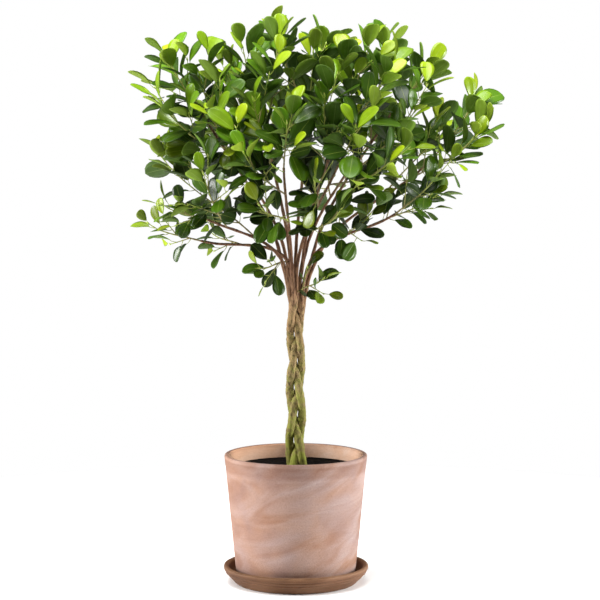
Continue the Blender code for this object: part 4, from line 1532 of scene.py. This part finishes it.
@dataclass
class Foliage:
    """The look of the leafy shoots: twigs with leaf scars, stalks, folded blades and pointed buds."""

    blade_rows: tuple[float, ...] = (0.04, 0.13, 0.26, 0.42, 0.58, 0.73, 0.86, 0.955)
    half_thick: float = 0.00032
    seed: int = 5

    def twig(self, path: np.ndarray, radii: tuple[float, float], limb_end: bool) -> Skin:
        """A twig's skin: a smooth tube with a slight swelling at each leaf's place.

        Args:
            path: The twig's path.
            radii: Its radius at its foot and at its tip.
            limb_end: Whether it grows from a limb, and so begins inside it.

        Returns:
            The skin, with its youth along it.
        """
        if limb_end:
            path = np.concatenate([[path[0] - unit(path[1] - path[0]) * 0.0035], path])
        fine = smoother(path, 6)
        share = np.linspace(0.0, 1.0, len(fine))
        run = np.concatenate([[0.0], np.cumsum(np.linalg.norm(np.diff(fine, axis=0), axis=1))])
        swelling = 1.12 + 0.14 * np.cos(run / 0.0125 * 2 * math.pi)
        reach = (radii[0] + (radii[1] - radii[0]) * share) * swelling
        start = 0.0 if limb_end else 0.35
        facts = {"youth": start + (1 - start) * share, "age": share * 0, "painted_light": share * 0}
        return ring_skin(tube_rings(fine, reach, 8), 0, facts)

    def bud(self, place: np.ndarray, along: np.ndarray, length: float) -> Skin:
        """A bud's skin: a slender pointed drop, its radius as sin(pi s^0.6) thinning to its point.

        Args:
            place: Its foot.
            along: The way it points.
            length: Its length.

        Returns:
            The skin, with its youth along it.
        """
        share = np.linspace(0.0, 1.0, 7)
        side = unit(np.cross(along, [0.2, 0.4, 0.9]))
        path = place + along * length * share[:, None] + side * 0.12 * length * share[:, None] ** 2
        reach = 0.16 * length * np.sin(math.pi * (0.12 + 0.88 * share) ** 0.6) + 0.00008
        return ring_skin(tube_rings(path, reach, 6), 3, {"youth": share, "age": share * 0, "painted_light": share * 0})

    def painted_crown_light(self, leaf: Leaf) -> float:
        """Painted light and shade for a leaf: lighter the further its tip is from the crown's middle and the
        higher it is, darker deep inside the crown.

        Args:
            leaf: The leaf.

        Returns:
            From 0, painted shade deep inside the crown, to 1, painted light at its top and edges.
        """
        tip = leaf.middle(np.array([1.0]))[0]
        reach = [0.33, 0.26, 0.27 if tip[2] > 0.74 else 0.21]
        outwards = np.linalg.norm((tip - [0.02, 0.0, 0.74]) / reach)
        return float(np.clip(0.15 + 0.80 * (outwards - 0.45) + 0.30 * (tip[2] - 0.72) / 0.28, 0.0, 1.0))

    def stalk(self, leaf: Leaf, youth: float) -> Skin:
        """A leaf stalk's skin: a thin tube from inside the twig to just inside the blade.

        Args:
            leaf: The leaf.
            youth: How young the leaf is, from 0 to 1.

        Returns:
            The skin.
        """
        share = np.linspace(0.0, 1.0, 4)
        reach = leaf.stalk + 0.10 * leaf.length
        sag = 4 * 0.0012 * (share * (1 - share))[:, None]
        path = leaf.foot + leaf.heading * reach * share[:, None] - leaf.face * sag
        radii = 0.00075 - 0.00040 * share
        facts = {"youth": np.full(4, 0.75 + 0.25 * youth), "age": share * 0, "painted_light": share * 0}
        return ring_skin(tube_rings(path, radii, 6), 0, facts)

    def blade(self, leaf: Leaf, draw: np.random.Generator) -> Skin:
        """A leaf blade as a thin closed body, folded along its midrib and gently waved.

        A point at share t along and v across lies at the midrib's point, plus v times the half width
        sideways, plus fold times |v| and a wave of sin(t) at the edge towards its upper face.

        Args:
            leaf: The leaf.
            draw: The numbers that vary its fold and wave.

        Returns:
            The skin: its upper face in slot 1, its underside in slot 2.
        """
        across = np.cross(leaf.heading, leaf.face)
        t = np.array(self.blade_rows)
        v = np.array([-1.0, -0.55, 0.0, 0.55, 1.0])
        half = leaf.half_width(t)[:, None]
        fold = draw.uniform(0.06, 0.34) + 0.10 * (1 - leaf.age)
        wave = draw.uniform(-0.10, 0.10) * np.sin(t[:, None] * draw.uniform(5, 9) + draw.uniform(0, 6))
        lift = half * (fold * np.abs(v) ** 1.3 * (1 - 0.35 * t[:, None]) + wave * v**2 * np.sign(v))
        spine = leaf.middle(t)[:, None] + np.zeros((1, 5, 1))
        sheet = spine + across * (half * v)[..., None] + leaf.face * lift[..., None]
        body = self.half_thick * (1 - v**2)[None, :, None] * leaf.face
        upper, under = sheet + body, (sheet - body)[:, 1:-1]
        rows = len(t)
        top = np.arange(rows * 5).reshape(rows, 5)
        low = np.arange(rows * 3).reshape(rows, 3) + rows * 5
        low = np.concatenate([top[:, :1], low, top[:, -1:]], axis=1)
        base, tip = rows * 8, rows * 8 + 1
        # both faces split along the same diagonal, so that a waved blade never crosses itself
        quads = [
            np.stack([top[:-1, :-1], top[:-1, 1:], top[1:, 1:], top[1:, :-1]], axis=-1).reshape(-1, 4),
            np.stack([low[:-1, :-1], low[1:, :-1], low[1:, 1:], low[:-1, 1:]], axis=-1).reshape(-1, 4),
        ]
        fans = []
        for grid in (top, low[:, ::-1]):
            fans.append(np.stack([grid[0, 1:], grid[0, :-1], np.full(4, base)], axis=-1))
            fans.append(np.stack([grid[-1, :-1], grid[-1, 1:], np.full(4, tip)], axis=-1))
        ends = leaf.middle(np.array([0.0, 1.0]))
        points = np.concatenate([upper.reshape(-1, 3), under.reshape(-1, 3), ends])
        across_uv = np.concatenate([np.tile(v, rows), np.tile(v[1:-1], rows), [0, 0]]) / 2 + 0.5
        along_uv = np.concatenate([np.repeat(t, 5), np.repeat(t, 3), [0, 1]])
        count = len(points)
        return Skin(
            points=points,
            quads=np.concatenate(quads),
            tris=np.concatenate(fans),
            slots=np.repeat([1, 2, 1, 2], [len(quads[0]), len(quads[1]), 8, 8]),
            uv=np.stack([across_uv, along_uv], axis=1),
            facts={
                "youth": np.zeros(count),
                "age": np.full(count, leaf.age),
                # painted light and shade by the leaf's place in the crown
                "painted_light": np.full(count, self.painted_crown_light(leaf) + draw.uniform(-0.2, 0.2)),
            },
        )

    def build(self, crown: Crown, axes: list[np.ndarray], finishes: list[bpy.types.Material]) -> None:
        """Grows and shows every leafy shoot, one piece for each.

        Args:
            crown: The crown's rules.
            axes: The shoots' main twigs.
            finishes: Twig, upper face, underside and bud.
        """
        twigs = [crown.side_twigs(number, axis) for number, axis in enumerate(axes)]
        total = 0
        for number, axis in enumerate(axes):
            draw = np.random.default_rng([self.seed, number])
            skins = [self.twig(axis, crown.axis_r, True)]
            ahead = unit(axis[-1] - axis[-2])
            skins.append(self.bud(axis[-1] - ahead * 0.001, ahead, 0.010))
            leaves = crown.leaves_on(axis, f"axis_{number}", (number, 10), 0.18)
            for k, path in twigs[number]:
                skins.append(self.twig(path, crown.twig_r, False))
                ahead = unit(path[-1] - path[-2])
                skins.append(self.bud(path[-1] - ahead * 0.001, ahead, 0.007))
                leaves += crown.leaves_on(path, f"twig_{number}_{k}", (number, 11 + k), 0.35)
            for leaf in leaves:
                skins.append(self.stalk(leaf, 1 - leaf.age))
                skins.append(self.blade(leaf, draw))
            total += len(leaves)
            node = f"leafy_shoot_{number + 1:02d}"
            show(f"{node}_grown", Skin.together(skins), finishes, [node])
        LOG.info("%d leaves in all", total)


# ---------------------------------------------------------------- the studio
@dataclass
class Studio:
    """A white floor, two large soft lights from the sides, one from above, and the camera."""

    eye: tuple[float, float, float] = (0.0073, -3.9, 0.8557)
    pitch_deg: float = 5.25
    lens_mm: float = 135.04
    floor_r: float = 1.25

    def soft_light(
        self, name: str, place: tuple, aim: tuple, size: float, watts: float, spread_deg: float
    ) -> None:
        """Hangs a square soft light that faces a point.

        Args:
            name: The light's name.
            place: Where it hangs.
            aim: The point that it faces.
            size: Its side, in metres.
            watts: Its power.
            spread_deg: How wide its beam is, in degrees.
        """
        lamp = bpy.data.lights.new(name, "AREA")
        lamp.size, lamp.energy, lamp.spread = size, watts, math.radians(spread_deg)
        holder = bpy.data.objects.new(name, lamp)
        holder.location = place
        away = np.array(place) - np.array(aim)
        flat = math.hypot(away[0], away[1])
        holder.rotation_euler = (math.atan2(flat, away[2]), 0.0, math.atan2(away[1], away[0]) + math.pi / 2)
        bpy.context.scene.collection.objects.link(holder)

    def build(self) -> None:
        """Sets the floor, the lights, the sky and the camera."""
        scene = bpy.context.scene
        scene.view_settings.view_transform = "Standard"
        white = bpy.data.materials.new("white studio floor")
        white.use_nodes = True
        paint = white.node_tree.nodes["Principled BSDF"]
        paint.inputs["Base Color"].default_value = (0.98, 0.98, 0.98, 1)
        paint.inputs["Roughness"].default_value = 1.0
        paint.inputs["Specular IOR Level"].default_value = 0.0
        mesh = bpy.data.meshes.new("studio_floor")
        turn = np.arange(96) * 2 * math.pi / 96
        disc = np.stack([np.cos(turn), np.sin(turn), turn * 0.0], axis=1) * self.floor_r - UP * 0.0002
        mesh.from_pydata(disc, [], [tuple(range(96))])
        mesh.materials.append(white)
        floor = bpy.data.objects.new("studio_floor", mesh)
        scene.collection.objects.link(floor)
        world = bpy.data.worlds.new("studio sky")
        world.use_nodes = True
        tree = world.node_tree
        seen = add(tree, "LightPath").outputs["Is Camera Ray"]
        bright = add(tree, "MapRange", {"Value": seen, "To Min": 0.25, "To Max": 1.0}).outputs[0]
        tree.nodes["Background"].inputs["Color"].default_value = (1.0, 1.0, 1.0, 1)
        tree.links.new(bright, tree.nodes["Background"].inputs["Strength"])
        scene.world = world
        self.soft_light("left_light", (-2.3, -0.1, 0.6), (0, 0, 0.12), 1.0, 13, 60)
        self.soft_light("right_light", (2.3, 0.0, 0.6), (0, 0, 0.12), 1.0, 13, 60)
        self.soft_light("top_light", (-0.3, -0.6, 3.2), (0, 0, 0.2), 2.6, 190, 180)
        lens = bpy.data.cameras.new("camera")
        lens.lens, lens.sensor_width = self.lens_mm, 36.0
        camera = bpy.data.objects.new("camera", lens)
        camera.location = self.eye
        camera.rotation_euler = (math.radians(90 - self.pitch_deg), 0.0, 0.0)
        scene.collection.objects.link(camera)
        scene.camera = camera


def main() -> None:
    """Builds the pot, the saucer, the soil, the plait, the limbs and the foliage, and lights them."""
    logging.basicConfig(level=logging.INFO, format="%(name)s: %(message)s")
    Studio().build()
    pot = TerracottaPot()
    pot.build()
    Saucer().build()
    PottingSoil().build(pot)
    plait = Plait()
    plait.build(STEM_BARK.material())
    crown = Crown(plait)
    limbs = crown.limbs()
    LimbWood().build(limbs, plait, LIMB_BARK.material())
    finishes = [TWIG_SKIN.material(), LEAF_UPPER.material(), LEAF_UNDER.material(), BUD_SHEATH.material()]
    Foliage().build(crown, crown.axes(limbs), finishes)


if __name__ == "__main__":
    main()
